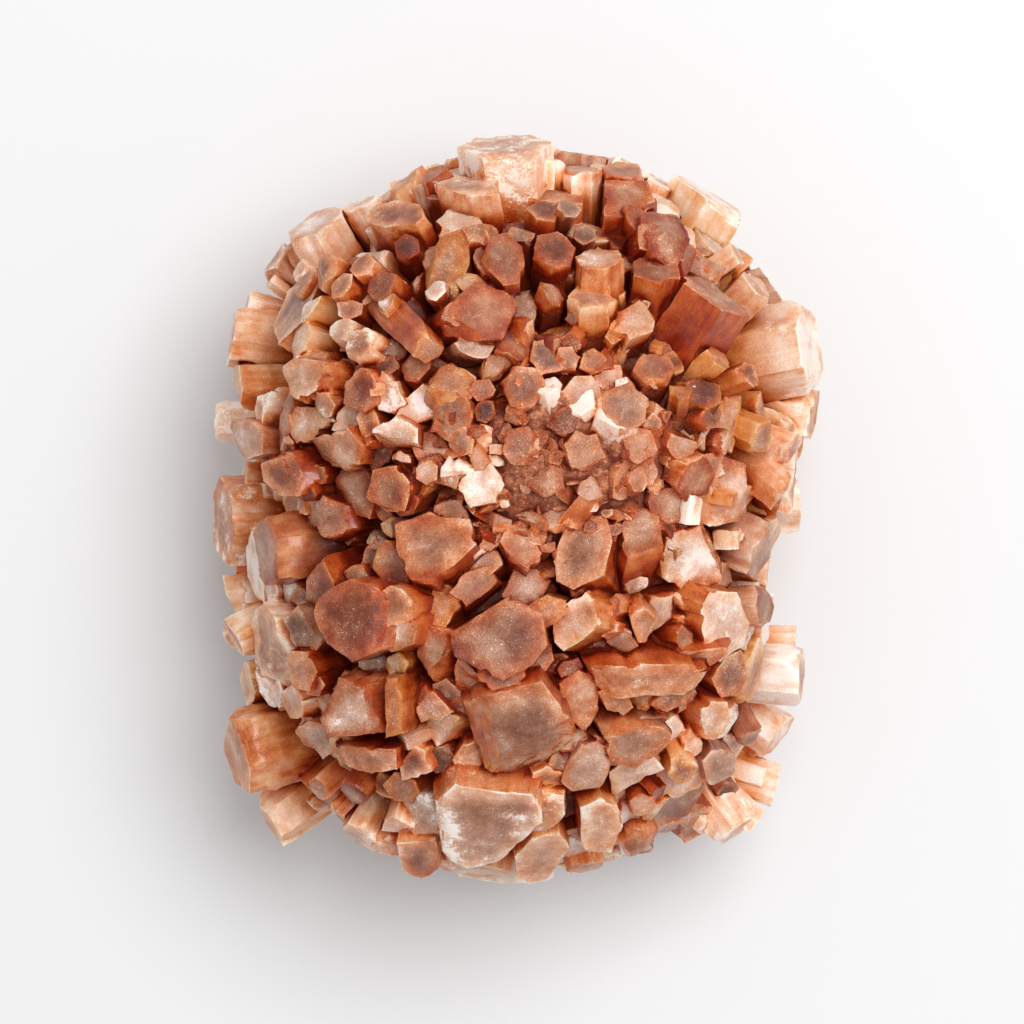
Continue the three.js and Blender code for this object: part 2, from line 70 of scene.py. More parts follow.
# %% The end faces that show
# tone, how far it stands over the ball, the way it points (compass and tilt in degrees), outline
FACES = [
    ("umber", 1.5, 200, 6, [(-6.8, -11.4), (-0.5, -7.4), (3.2, -9.4), (3.8, -12.8), (2.2, -15),
        (-1, -16.8), (-6.1, -14.2)]),
    ("rose", 1, 276, 24, [(-5, -19.3), (-3, -17.4), (2.8, -15.9), (5.5, -19.3), (6.5, -22.6),
        (3, -26.6), (-0.5, -27.2), (-2.9, -25.6)]),
    ("frost", 1, 262, 38, [(-8.3, -28.3), (-5.8, -25.8), (-2.3, -26.3), (3, -27.1), (3.3, -30.6),
        (0.7, -33.3), (-1.3, -35.4), (-5.8, -35.6), (-7.5, -33.3)]),
    ("amber", 0, 262, 56, [(-11.6, -32.8), (-7.6, -32.6), (-7.1, -35.8), (-9.3, -36.6),
        (-11.1, -35.6)]),
    ("rose", 2, 186, 33, [(-19.4, -7.8), (-15.5, -6), (-13.5, -6.7), (-11.6, -8.8), (-11.7, -11.3),
        (-12.4, -13.3), (-16, -14.8), (-18.2, -12.9), (-19.6, -9.8)]),
    ("rust", 0.5, 125, 26, [(-11.5, -0.8), (-8.8, 0.5), (-6.8, -0.3), (-4, -0.5), (-3.3, -3.1),
        (-7.5, -6.8), (-10.1, -6.4), (-11.3, -3.6)]),
    ("rose", -1.5, 80, 14, [(-6.3, -7.8), (-5, -5.6), (-2.1, -4.9), (-0.8, -6.6), (-2.3, -7.8),
        (-4.5, -9.4)]),
    ("rust", -1, 75, 20, [(-1.4, -2.8), (-0.5, -0.6), (1.2, 0.5), (3.2, 0), (3.6, -2.1),
        (2.7, -4.8), (1.4, -5.8), (-0.3, -4.8)]),
    ("rose", 0.5, 130, 24, [(3.7, -3.3), (5.2, 0), (9.2, 0.4), (9.9, -2.8), (9, -6.3), (5.7, -7.8),
        (3.7, -6.8)]),
    ("peach", 1, 175, 22, [(3.2, -9.3), (7, -7.1), (9, -8.8), (8.8, -11.3), (4.7, -13.6),
        (3, -12)]),
    ("rose", 0, 85, 34, [(10, 0), (12.7, 1), (14.5, -0.3), (14.9, -3.3), (10.7, -4.8),
        (9.9, -3.3)]),
    ("smoke", -1, 300, 24, [(4.7, -26.3), (5.4, -24.3), (6.7, -22.5), (8.7, -22.3), (9.9, -23.8),
        (9.2, -26.3), (7.7, -27.6), (5.9, -27.4)]),
    ("smoke", 0, 305, 28, [(7.9, -21), (9.2, -19.6), (11.7, -20), (14.7, -20.4), (16.2, -21.6),
        (14.2, -23.6), (11.9, -25.2), (9.5, -24.5)]),
    ("dusty", 0.5, 300, 34, [(7, -15.2), (8.7, -14.4), (12.7, -14), (17.7, -14.3), (19.9, -15),
        (18.7, -17), (16.7, -18.5), (12.7, -18.2), (9.2, -18.6), (7.7, -17.3)]),
    ("peach", 0.5, 330, 40, [(13.9, -4.8), (15.2, -1.8), (18.7, -0.8), (22.2, -3.3), (22.7, -5.3),
        (20.2, -7.3), (16.7, -8.5), (14.2, -6.8)]),
    ("peach", 1, 340, 46, [(17.7, -8.8), (18.9, -7.1), (22.2, -7.4), (23.9, -10.8), (23.2, -13.3),
        (20.2, -15.1), (18.7, -13.8), (18, -11.8)]),
    ("cream", 0, 290, 28, [(10.9, -9.8), (12.7, -9.1), (14.3, -10.3), (13.9, -12), (13.2, -13),
        (11.9, -12.9)]),
    ("smoke", -0.8, 280, 25, [(8.7, -11.8), (9.9, -10.5), (11.5, -11.5), (12.2, -13), (10.5, -14),
        (9, -13.3)]),
    ("rose", 1, 200, 30, [(-19.2, -20), (-17, -15.6), (-13.3, -16), (-12.7, -18.8), (-12.8, -22),
        (-18.3, -22.3)]),
    ("rose", 0.6, 200, 30, [(-12.7, -15.6), (-11.1, -15.6), (-10.5, -17.8), (-10.7, -21.8),
        (-12.5, -22.1)]),
    ("rose", -0.5, 215, 34, [(-18.3, -22.6), (-10.9, -22.6), (-10.8, -25.3), (-14.1, -26),
        (-16.3, -25.3)]),
    ("amber", 0, 290, 48, [(14.8, -25.8), (15.5, -24.5), (16.7, -24), (18.4, -25), (17.9, -26.6),
        (16.2, -27.3)]),
    ("smoke", 0.5, 310, 48, [(18.4, -24.6), (19.9, -23), (21.5, -23.3), (23, -24.6), (22.2, -26.6),
        (20.2, -28), (19, -27.3)]),
    ("peach", 0, 290, 42, [(6.5, -28.8), (8.5, -27.8), (10.5, -28.6), (11.1, -30.8), (9.9, -33.8),
        (7.7, -34.3), (6.7, -32.6)]),
    ("cream", 0, 280, 52, [(-0.1, -33.8), (1.7, -31.6), (4.7, -31), (5.9, -33.3), (4.2, -36.6),
        (2.2, -37.6), (0.2, -36.6)]),
    ("rose", 0, 118, 54, [(-15.1, 29), (-13.9, 30.8), (-11.3, 31.2), (-8.9, 30.6), (-8, 29.1),
        (-9.3, 27.7), (-12.8, 27.5), (-14.7, 28.2)]),
    ("rose", 0.5, 102, 60, [(-8.3, 32.2), (-5.8, 33.2), (-3.8, 33.4), (-1.8, 32.2), (-1.3, 31.2),
        (-4.3, 30.9), (-7.3, 31.4)]),
    ("rust", 0.5, 82, 54, [(9, 32.8), (13.2, 32.6), (14.3, 30.9), (11.7, 29.9), (8.9, 29.6)]),
    ("rust", 2, 52, 32, [(12.7, 29.6), (13.9, 30.5), (16.9, 30), (18.1, 27.4), (17.3, 25),
        (16.3, 23.6), (13.5, 24.8), (12.8, 27.2)]),
    ("umber", 0, 95, 28, [(-3.5, 25), (-2.7, 26.5), (-0.7, 27.2), (1, 26), (1.3, 24), (0.7, 22),
        (-1, 21.7), (-2.6, 23.2)]),
    ("rust", 0.5, 30, 22, [(-6.6, 19), (-4.8, 21.2), (-3.3, 22.5), (-0.6, 21.5), (1.2, 19.2),
        (-0.8, 16.2), (-3.3, 16.2), (-5.8, 17.2)]),
    ("amber", -0.5, 85, 28, [(-8.6, 12), (-8, 13.4), (-5.8, 14.6), (-3.5, 13), (-3.9, 10.7),
        (-6.8, 10.5)]),
    ("rust", -0.5, 150, 8, [(-4.3, 11.5), (-3.7, 12.7), (-2.3, 12.8), (-1.6, 11.7), (-2.1, 10.7),
        (-3.5, 10.5)]),
    ("rust", -0.5, 200, 8, [(-3.9, 10), (-3.1, 10.8), (-1.9, 10.7), (-1.5, 9.4), (-2.3, 8.2),
        (-3.8, 8.4)]),
    ("peach", 0.5, 60, 30, [(9.5, 17.7), (10.2, 20), (12.2, 20.9), (14.2, 19.4), (13.7, 17.2),
        (11.2, 16.2)]),
    ("peach", 0, 170, 46, [(-23.3, 14.4), (-21.3, 15.6), (-17.8, 15), (-17.2, 12.7), (-19.3, 11.2),
        (-21, 10.3), (-23, 11.4)]),
    ("smoke", 0.5, 184, 56, [(-29, 8), (-28.1, 9.6), (-26, 9.4), (-24.7, 7.6), (-25.1, 5.6),
        (-26.8, 5.1), (-28.8, 5.7)]),
    ("rose", 1, 195, 44, [(-25.5, 5), (-22.8, 6.2), (-21, 5.6), (-20.1, 3.2), (-20.8, 1.2),
        (-23.3, 1.2), (-25.1, 2.7)]),
]

# %% The prisms that show mostly their sides
# tone, x, y, width, lift, and for most the way they point: compass, tilt
PRISMS = [
    # the rim, from the left round the top to the right and back along the bottom
    ("cream", -30.5, 9.2, 4.6, -6, 180, 95), ("peach", -27.9, 12.4, 5.2, 3, 182, 74),
    ("peach", -28.5, 17.9, 6.8, 1, 172, 80), ("peach", -27.3, 21.2, 3.8, -3, 165, 80),
    ("smoke", -24.5, 25.7, 4.6, -1, 145, 80), ("peach", -20.1, 29.1, 7.2, 3, 120, 72),
    ("rust", -11.3, 33.2, 5.4, -3, 122, 80), ("rust", -7.8, 33.4, 3.4, 1, 112, 62),
    ("peach", -6.1, 35.6, 4.2, -4, 105, 80), ("peach", -3, 32.9, 3.6, -1, 95, 66),
    ("frost", -0.8, 36.4, 9.6, 2, 95, 74), ("honey", 6.7, 33.9, 4.6, -2, 90, 78),
    ("peach", 9.2, 34.9, 3.8, -5, 95, 84), ("rose", 10.9, 33.9, 4.6, 0, 88, 62),
    ("honey", 19.7, 32.2, 9, 2, 59, 80), ("peach", 24.2, 22.5, 4.6, 0, 45, 66),
    ("peach", 29.5, 16.7, 9.2, 4, 12, 74), ("amber", 30.2, 10, 6.2, -1, 350, 76),
    ("peach", 27.7, 6, 4.2, 0, 340, 68), ("peach", 26.9, 1.5, 4.6, 0, 318, 72),
    ("cream", 29, 0.7, 5.6, -7, 0, 90), ("smoke", 24.7, -4.1, 6, 0.5, 335, 64),
    ("smoke", 25, -9.3, 4.8, 0, 5, 68), ("ice", 29.3, -16.3, 6.2, 2, 356, 80),
    ("cream", 27.2, -23, 5.4, -3, 325, 74), ("honey", 27.1, -28.3, 5, -5, 342, 84),
    ("cream", 22.7, -32.6, 5.4, -1, 305, 76), ("rose", 18.5, -31.6, 6.4, 0.5, 308, 52),
    ("rust", 12.7, -33.4, 4.6, 0, 290, 58), ("umber", 7.4, -35.6, 4.4, -3, 285, 72),
    ("cream", -15.3, -32.4, 4.6, 0, 240, 62), ("peach", -25.1, -31.6, 6, -3, 215, 76),
    ("amber", -28.1, -24.3, 8.8, 2, 194, 69), ("peach", -27.3, -17.8, 5.6, -4, 186, 74),
    ("cream", -29.1, -13.8, 3.8, -7, 210, 92), ("honey", -28.1, -12.8, 5, 1, 205, 78),
    ("peach", -29.5, -8.5, 4.8, -4, 184, 84), ("umber", -24.6, -4.1, 8, 1, 188, 66),
    ("rose", -29.7, -0.8, 9.4, -2, 182, 75), ("peach", -27.5, 3.4, 3.8, -2, 175, 74),
    # inside the rim, upper heart
    ("peach", -18.8, 24, 4, 1, 150, 45), ("rose", -16.3, 6, 4.8, 0, 190, 35),
    ("rose", -14.8, 11.5, 4.4, 0, 190, 30), ("cream", -11.3, 6.7, 5, 0, 200, 20),
    ("rose", -3, 27.5, 4, -0.5, 100, 40), ("amber", -8, 15.5, 3.8, 0, 315, 42),
    ("rust", 1, 12, 4.4, 0), ("umber", -5.8, 9.2, 4.8, -0.5), ("rust", -12.8, 22, 4, 0),
    ("umber", 3.2, 29.4, 3.8, -1), ("rust", 3.9, 25.4, 4.6, 0, 90, 35),
    ("peach", 8.3, 24.4, 5, 1, 90, 58), ("rose", 13.9, 23.6, 6, 0, 82, 52),
    ("amber", 7.5, 20.9, 5, 0, 92, 52), ("rust", 3.9, 21.2, 3.8, -1),
    ("rose", 19.3, 24.5, 4.6, -0.5, 40, 48), ("rust", 19.7, 21.4, 8.4, 1, 56, 66),
    ("rust", 13.7, 14, 4.2, -0.5, 70, 30), ("peach", 6.7, 11.2, 4.6, 0),
    ("frost", 10.7, 10, 5.6, 1, 30, 15), ("dusty", 6.9, 5.7, 4.6, 0), ("rust", 12, 6.4, 3.8, 0),
    ("umber", 12.5, 3.8, 3.8, -1), ("rose", 16.3, 6.5, 3.8, 0),
    ("amber", 24.4, 7.2, 4, 0, 335, 50), ("dusty", 17.7, 3.2, 4.8, 0, 330, 40),
    ("cream", -14.8, 16.2, 4, 0), ("dusty", 0.7, 6.2, 4, 0), ("rust", 3.2, 3.2, 3.8, 0),
    ("rust", 3.4, 15, 4.4, -0.5), ("rust", 18.4, 11.6, 4.6, -0.5, 60, 34),
    # inside the rim, lower heart
    ("rust", -12, 2, 5, 0, 200, 30), ("cream", -3, 2.7, 4.8, 0),
    ("umber", -18.3, -0.6, 4.8, -0.5, 180, 45), ("smoke", -20.8, -11.6, 4.6, -1.5, 190, 38),
    ("rose", -21, -15.6, 4.6, -1, 195, 40), ("smoke", -20.1, -22.6, 4.2, -0.5, 205, 45),
    ("smoke", -6.6, -17.8, 3.6, -3, 220, 30), ("umber", -10.9, -27.1, 4, -2, 230, 35),
    ("rose", 19.5, -20.4, 4.8, 0, 320, 38), ("umber", 21.5, -16, 4.8, 0, 340, 42),
]

# %% [markdown]
# ## Sprigs
# Between the big prisms sit dozens of thin ones. They are too fine for the solid, but they make
# the cluster look crowded, which is what sets a real one apart from a toy.

# %% Sprigs
# tone, x, y, width, lift, and for some the way they point
SPRIGS = [
    ("honey", 3.9, 34.9, 3, -1, 85, 80), ("peach", 22.2, 25.6, 3, 0, 35, 76),
    ("cream", 29, -12.9, 3, -4, 0, 88), ("cream", 24.9, -31.8, 3, -3, 315, 85),
    ("peach", -12.7, -33.8, 3.2, 0, 255, 66), ("peach", -21.5, 24.4, 2.6, -1),
    ("rose", -20.8, 22.7, 2.8, -1), ("rose", -22.5, 8.7, 2.6, -2),
    ("frost", -18.5, 10.4, 2.8, -1, 200, 40), ("rose", -10.3, 25.9, 3, -1, 120, 30),
    ("cream", -5.1, 6.7, 3, 0), ("frost", -12.5, 20.2, 2.6, 0), ("ice", -7.6, 21.4, 2.6, 0),
    ("cream", -16.8, 17.7, 3, 0), ("peach", -14.8, 24.2, 3, 0), ("peach", -16.8, 22.2, 3, 0),
    ("smoke", 5.4, 29.5, 2.8, 0, 60, 45), ("smoke", 7, 26.9, 2.6, 0, 80, 30),
    ("umber", 0.7, 27, 3, -1.5), ("rust", 16.1, 11.7, 2.6, 0, 80, 40),
    ("amber", 20, 15, 3.2, 0, 40, 60), ("rust", 23.2, 13.4, 2.8, 0, 20, 62),
    ("frost", 5.2, 14.6, 3, 0), ("peach", 7.7, 14.4, 2.8, 0), ("peach", 13.4, 8.4, 2.4, 0),
    ("umber", 4.9, 8.7, 3.2, 0), ("dusty", 20.7, 6.7, 3, 0), ("dusty", 19.2, 9.2, 3, 0),
    ("umber", -12.3, 14.2, 3, -2), ("cream", -6, 3.4, 2.8, 0), ("peach", -8.3, 3.8, 2.8, -0.5),
    ("ice", 7.5, 2.2, 2.6, 0), ("smoke", -13.3, -2.5, 2.8, -3, 150, 25),
    ("smoke", -10.8, -22.3, 2.6, -2, 205, 70), ("smoke", -7, -24, 3.2, -3, 240, 30),
    ("umber", -19.5, -27.8, 2.8, -1), ("umber", -15.8, -27.8, 3.2, -1),
    ("rust", -20.1, -30, 2.6, -1), ("umber", -17.6, -30, 2.4, -1),
    ("frost", 12.7, -28.8, 3, -1.5, 290, 30), ("rust", 14.2, -27.8, 2.8, -2),
    ("smoke", 21.8, -28.4, 2.8, 0, 315, 50), ("smoke", 23.7, -22.6, 3, 1, 300, 60),
    ("ice", 12.2, -7.3, 2.8, -1), ("rose", 16.7, -12.2, 3, -0.5), ("rust", 5.5, -15.2, 2.6, -2),
    ("umber", 3.2, -7.5, 2.4, -3), ("chalk", 10.3, 9.9, 5.4, 0.1, 60, 38),
    ("chalk", 6.2, 10.6, 3.8, 0, 130, 30), ("chalk", -5.6, 3.2, 3.4, 0, 240, 40),
    ("chalk", 3.4, 12.2, 2.8, 0, 100, 50),
]
print(len(FACES), "end faces,", len(PRISMS), "prisms and", len(SPRIGS), "sprigs by hand")

# %% [markdown]
# ## From a line in the list to a crystal
# Each crystal gets a frame of its own: the axis it grew along and two directions across it. The
# outline of its end face is worked out in that frame, where a tilted hexagon is a plain one again.

# %% Chance that comes out the same each time
def dice(seed):
    """A repeatable run of numbers from 0 to 1, the same as the solid's."""
    modulus = 2147483647
    state = math.floor(seed + 0.5) % modulus or 1
    for k in itertools.count():
        state = state * 16807 % modulus
        if k > 1:
            yield state / modulus


def wander(roll, most):
    """A step to either side, of that size at most."""
    return (next(roll) - 0.5) * 2 * most


# %% The dome and the ways out of it
UP = np.array([0.0, 0.0, 1.0])


def dome_height(x, y):
    rises = REACHES**2 - ((np.array([x, y]) - HEARTS) ** 2).sum(axis=1)
    return HEART_HEIGHT + FLATNESS * math.sqrt(max(0, rises.max()))


def outwards(tip):
    """The way out from the line between the hearts."""
    start, end = (np.array([*heart, HEART_HEIGHT]) for heart in HEARTS)
    share = np.clip((tip - start) @ (end - start) / ((end - start) @ (end - start)), 0, 1)
    way = tip - (start + share * (end - start))
    return way / np.linalg.norm(way)


def pointing(compass, tilt):
    turn, lean = math.radians(compass), math.radians(tilt)
    level = math.sin(lean)
    return np.array([level * math.cos(turn), level * math.sin(turn), math.cos(lean)])


def own_frame(axis):
    across = np.cross(UP, axis)
    across = across / np.linalg.norm(across)
    return np.array([across, np.cross(axis, across), axis])


# %% One crystal's corners
CORNER_RADIUS = 0.55
CORNER_WANDER = 0.09
TIP_SLOPE = 0.07


def area(corners):
    x, y = corners.T
    return (x @ np.roll(y, -1) - y @ np.roll(x, -1)) / 2


def plain_corners(width, roll, uneven):
    """A hexagon with wandering corners, squeezed along one line if it is uneven."""
    spin = next(roll) * math.pi
    corners = []
    for k in range(6):
        angle = spin + k * math.pi / 3 + wander(roll, CORNER_WANDER)
        radius = width * CORNER_RADIUS * (1 + wander(roll, CORNER_WANDER))
        radius *= 1 - uneven * next(roll) * (k % 2) if uneven else 1
        corners.append([radius * math.cos(angle), radius * math.sin(angle)])
    if uneven:
        turn = next(roll) * math.pi
        spun = np.array([[math.cos(turn), -math.sin(turn)], [math.sin(turn), math.cos(turn)]])
        squeeze = [1 + uneven * 0.5, 1 - uneven * next(roll)]
        corners = np.array(corners) @ spun * squeeze @ spun.T
    return np.array(corners)


# %% One crystal
def crystal(tone, tip, axis, outline=None, width=None, uneven=0):
    """outline is in plan, for a crystal given by its end face; width is for the plain ones."""
    roll = dice(tip[0] * 131 + tip[1] * 977 + tip[2] * 31 + 5000)
    own = own_frame(axis)
    if outline is None:
        corners = plain_corners(width, roll, uneven)
    else:
        level = outline - tip[:2]
        fall = -(level @ axis[:2]) / axis[2]
        corners = np.column_stack([level, fall]) @ own[:2].T
        corners = corners if area(corners) > 0 else corners[::-1]
        width = 2 * math.sqrt(area(corners) / math.pi)
    slope = np.array([wander(roll, TIP_SLOPE), wander(roll, TIP_SLOPE)])
    made = {"tone": tone, "tip": tip, "own": own, "corners": corners}
    return {**made, "slope": slope, "width": width}


def from_face(tone, lift, compass, tilt, outline):
    outline = np.array(outline, float)
    x, y = outline.mean(axis=0)
    tip = np.array([x, y, dome_height(x, y) + lift])
    return crystal(tone, tip, pointing(compass, tilt), outline=outline)


def from_tip(tone, x, y, width, lift, compass=None, tilt=None):
    tip = np.array([x, y, dome_height(x, y) + lift])
    way = outwards(tip) if compass is None else pointing(compass, tilt)
    return crystal(tone, tip, way, width=width)


crystals = [from_face(*row) for row in FACES] + [from_tip(*row) for row in PRISMS]
print("crystals placed by hand:", len(crystals))

# %% [markdown]
# ## The sides and the underside
# A crystal grows wherever there is room for it, the widest first. The same rule fills the sides:
# try places spread evenly over the ball, and keep each one that isn't crowded.

# %% Crystals where there is room
FILL_WIDTHS = [11, 9, 7.5]
FILL_ROUND = 230
FILL_CROWDING = 0.47
FILL_REACH = 0.95
UNDERSIDE = -0.75
GOLDEN_ANGLE = math.pi * (3 - math.sqrt(5))
SIDE_TONES = "peach rose amber rust cream peach smoke honey rose umber".split()


def fill(crystals):
    """Adds crystals where there is room, the widest first, and returns how many."""
    before = len(crystals)
    for number, width in enumerate(FILL_WIDTHS):
        for k in range(FILL_ROUND):
            near, far = k % 2, (k + 1) % 2
            rise = 1 - 2 * (k + 0.5) / FILL_ROUND
            turn = GOLDEN_ANGLE * k + number
            reach = REACHES[near] * (FILL_REACH if rise > UNDERSIDE else 1)
            level = math.sqrt(1 - rise * rise) * reach
            x, y = HEARTS[near] + level * np.array([math.cos(turn), math.sin(turn)])
            tip = np.array([x, y, HEART_HEIGHT + FLATNESS * reach * rise])
            depth = tip - np.array([*HEARTS[far], HEART_HEIGHT])
            depth[2] /= FLATNESS
            apart = np.linalg.norm(np.array([c["tip"] for c in crystals]) - tip, axis=1)
            widths = width + np.array([c["width"] for c in crystals])
            crowded = (apart - FILL_CROWDING * widths).min() < 0
            if np.linalg.norm(depth) < REACHES[far] * FILL_REACH or crowded:
                continue
            tone = SIDE_TONES[(k * 7 + number) % len(SIDE_TONES)]
            crystals.append(crystal(tone, tip, outwards(tip), width=width))
    return len(crystals) - before


print("crystals on the sides and underneath:", fill(crystals))


# %% The solid's own box
def prism_points(c):
    """The corners of a crystal's tip and root, as the solid has them."""
    ends = []
    for share, depth in ((1, 0), (ROOT_SHARE, LENGTH)):
        flat = c["corners"] * share
        height = flat @ c["slope"] if depth == 0 else np.full(len(flat), -float(depth))
        ends.append(c["tip"] + np.column_stack([flat, height]) @ c["own"])
    return np.vstack(ends)


extents = np.vstack([prism_points(c) for c in crystals])
middle = (extents.min(axis=0) + extents.max(axis=0)) / 2
size = extents.max(axis=0) - extents.min(axis=0)
print("middle of the crystals in plan:", middle[:2].round(3), "and size:", size[:2].round(2))

# %% Plant the sprigs
crystals += [from_tip(*row) for row in SPRIGS]
print("crystals with the sprigs:", len(crystals))

# %% [markdown]
# ## Crystals where there is still room
# In a real cluster there is no empty place: wherever two big prisms leave a gap, thinner ones fill
# it, as wide as the gap lets them be and a little shorter. So the script does the same. It spreads
# many spots over the ball, asks each how far it is from the nearest side of a crystal, and plants
# one where there is most room, again and again until the gaps are small.

# %% How much room there is
# Above an end face a spot has no room up to ON_TOP, and from there on a share of its height.
ON_TOP = 2.5
ROOM_ABOVE = 0.6
LOWEST_SPOT = 1.5


def room(points, c):
    """How far each point is from a crystal's sides. It is below zero inside the crystal."""
    own = (points - c["tip"]) @ c["own"].T
    ahead = np.roll(c["corners"], -1, axis=0) - c["corners"]
    ahead = ahead / np.linalg.norm(ahead, axis=1)[:, None]
    outward = np.column_stack([ahead[:, 1], -ahead[:, 0]])
    sideways = ((own[:, None, :2] - c["corners"]) * outward).sum(axis=2).max(axis=1)
    beside = np.where(own[:, 2] < ON_TOP, sideways, np.maximum(sideways, own[:, 2] * ROOM_ABOVE))
    return np.where(own[:, 2] < -LENGTH, np.inf, beside)


def spots(count, share):
    """Points spread evenly over both domes, at that share of their reach."""
    spread = []
    for near, far in ((0, 1), (1, 0)):
        rise = 1 - 2 * (np.arange(count) + 0.5) / count
        turn = GOLDEN_ANGLE * np.arange(count) + near
        reach = REACHES[near] * share
        level = np.sqrt(1 - rise**2) * reach
        plan = [level * np.cos(turn), level * np.sin(turn)]
        place = np.column_stack([*plan, FLATNESS * reach * rise]) + [*HEARTS[near], HEART_HEIGHT]
        away = (place - [*HEARTS[far], HEART_HEIGHT]) / [1, 1, FLATNESS]
        spread.append(place[np.linalg.norm(away, axis=1) > REACHES[far] * share])
    spread = np.vstack(spread)
    return spread[spread[:, 2] > LOWEST_SPOT]


# %% [markdown]
# ## Tones by neighbourhood
# The crystals at the rim are the clean pale tips of the cluster, those towards the middle are
# stained with iron. A list of neighbourhoods says which tones turn up where, and each new crystal
# takes one from the nearest.

# %% Neighbourhoods
NEIGHBOURHOODS = [
    (-28, 0, "cream honey peach amber cream ice"), (-26, -20, "amber cream honey ice"),
    (-24, 22, "peach frost cream ice honey"), (0, 34, "cream peach amber rust smoke"),
    (20, 28, "honey amber peach cream rose"), (28, 10, "peach honey cream amber"),
    (28, -20, "cream ice smoke cream cream"), (8, -34, "cream peach ice smoke"),
    (-12, -32, "cream amber peach ice"), (-12, -10, "umber smoke rose amber rust"),
    (5, 5, "dusty rust peach dusty cream"), (10, -12, "peach rose rust amber"),
    (5, 22, "rust umber peach amber smoke"), (-14, 8, "rust peach umber cream rose"),
]
tone_dice = np.random.default_rng(9)


def local_tone(x, y):
    nearest = min(NEIGHBOURHOODS, key=lambda n: math.hypot(n[0] - x, n[1] - y))
    choice = nearest[2].split()
    return choice[tone_dice.integers(len(choice))]


# %% Inside the solid
INSET = 0.05
SINK_TRIES = 40
SINK_STEP = 0.15
lowest, highest = extents.min(axis=0) + INSET, extents.max(axis=0) - INSET


def tucked(c):
    """The crystal, sunk along its axis until its tip is inside the solid's box."""
    for _ in range(SINK_TRIES):
        corners = prism_points(c)[: len(c["corners"])]
        if (corners > lowest).all() and (corners < highest).all():
            return c
        c = {**c, "tip": c["tip"] - c["own"][2] * SINK_STEP}
    return c


# %% The sides of the rim crystals stay in view
# The crystals at the rim lean right over, and nothing grew on their upper side. CLEAR holds the
# length and the height that stay free there, for each layer of fill.
CLEAR = [(10.0, 9.0), (6.5, 5.0), (0, 0)]
LEANING = 0.5
BELOW_HEARTS = 4
HALF_BREADTH = 0.45


def hides(spots, c, clear):
    """Whether a crystal planted there would stand on the upper side of a leaning one."""
    if c["own"][2][2] > LEANING or c["tip"][2] < HEART_HEIGHT - BELOW_HEARTS:
        return np.zeros(len(spots), bool)
    length, rise = clear
    across, above, along = ((spots - c["tip"]) @ c["own"].T).T
    near = (above > 0) & (above < c["width"] / 2 + rise)
    return near & (abs(across) < c["width"] * HALF_BREADTH) & (along < 0) & (along > -length)


# %% Parallel growth
# Few of the big prisms are single: thinner ones grew on their flanks, side by side with them, and
# stopped a little lower. That is what makes the terraces round the end faces.
TERRACES = 2.4
TERRACE_SHARE = (0.34, 0.62)
TERRACE_DROP = (0.7, 3.6)
TERRACE_PLACE = (0.62, 0.86)
SQUEEZE = (0.7, 1.25)
PARENT_WIDTH = 4.4
SAME_TONE = 0.75
terrace_dice = np.random.default_rng(5)
parents = [c for c in crystals if c["width"] > PARENT_WIDTH]


def beside(c, tip, share, chance, tone):
    """A crystal that grew parallel to another: the same faces, but narrower and elsewhere."""
    squeeze = chance.uniform(*SQUEEZE, 2)
    corners, width = c["corners"] * share * squeeze, c["width"] * share * squeeze.mean()
    return tucked({**c, "tone": tone, "tip": tip, "corners": corners, "width": width})


def hidden_behind(tip, parent):
    """Whether a terrace would cover the upper side of another big crystal."""
    return any(hides(tip[None], c, CLEAR[1])[0] for c in parents if c is not parent)


before = len(crystals)
for c in parents:
    for _ in range(terrace_dice.poisson(TERRACES)):
        side = c["corners"][terrace_dice.integers(len(c["corners"]))]
        side = side * terrace_dice.uniform(*TERRACE_PLACE)
        drop = terrace_dice.uniform(*TERRACE_DROP)
        tip = c["tip"] + np.array([*side, -drop]) @ c["own"]
        buried = c["own"][2][2] < LEANING and side[1] > 0 and tip[2] > HEART_HEIGHT
        if buried or hidden_behind(tip, c):
            continue
        tone = c["tone"] if terrace_dice.random() < SAME_TONE else local_tone(*tip[:2])
        crystals.append(beside(c, tip, terrace_dice.uniform(*TERRACE_SHARE), terrace_dice, tone))
print("terraces:", len(crystals) - before, "on", len(parents), "big crystals")

# %% Dark crevices stay open
# Seen from above: x, y and how far across and along nothing grew. The last is the hollow.
CREVICES = [
    (-10.3, 12.8, 1.5, 1.5), (-15, 1.2, 1.2, 1.2), (-8.2, -11.6, 1.7, 1.7), (6.2, -16.4, 2.2, 2.2),
    (3.3, -7.7, 1.4, 1.4), (-4.6, 15.2, 1.2, 1.2), (-11.2, -13.2, 1.4, 1.4), (-8.3, -21.5, 1, 1),
    (5.2, -29.5, 1.4, 1.4), (-9.3, 24, 1.2, 1.2), (5, 5.5, 10.5, 7.5),
]
print("places left open:", len(CREVICES))

# %% Side by side with the big ones
BUNDLE_REACH = 6.0
OUTWARD_PULL = 0.3


def bundle(spot, big):
    """The way that the big crystals round a spot point, for what grows there to follow."""
    far = np.linalg.norm([c["tip"] - spot for c in big], axis=1)
    weight = np.exp(-((far / BUNDLE_REACH) ** 2))
    way = outwards(spot) * OUTWARD_PULL + (weight[:, None] * [c["own"][2] for c in big]).sum(axis=0)
    return way / np.linalg.norm(way)


# %% Fill the gaps
LEAST_ROOM = 0.3
WIDEST_FILL = 7.5
UNEVEN = 0.3
WAY_WANDER = 0.07


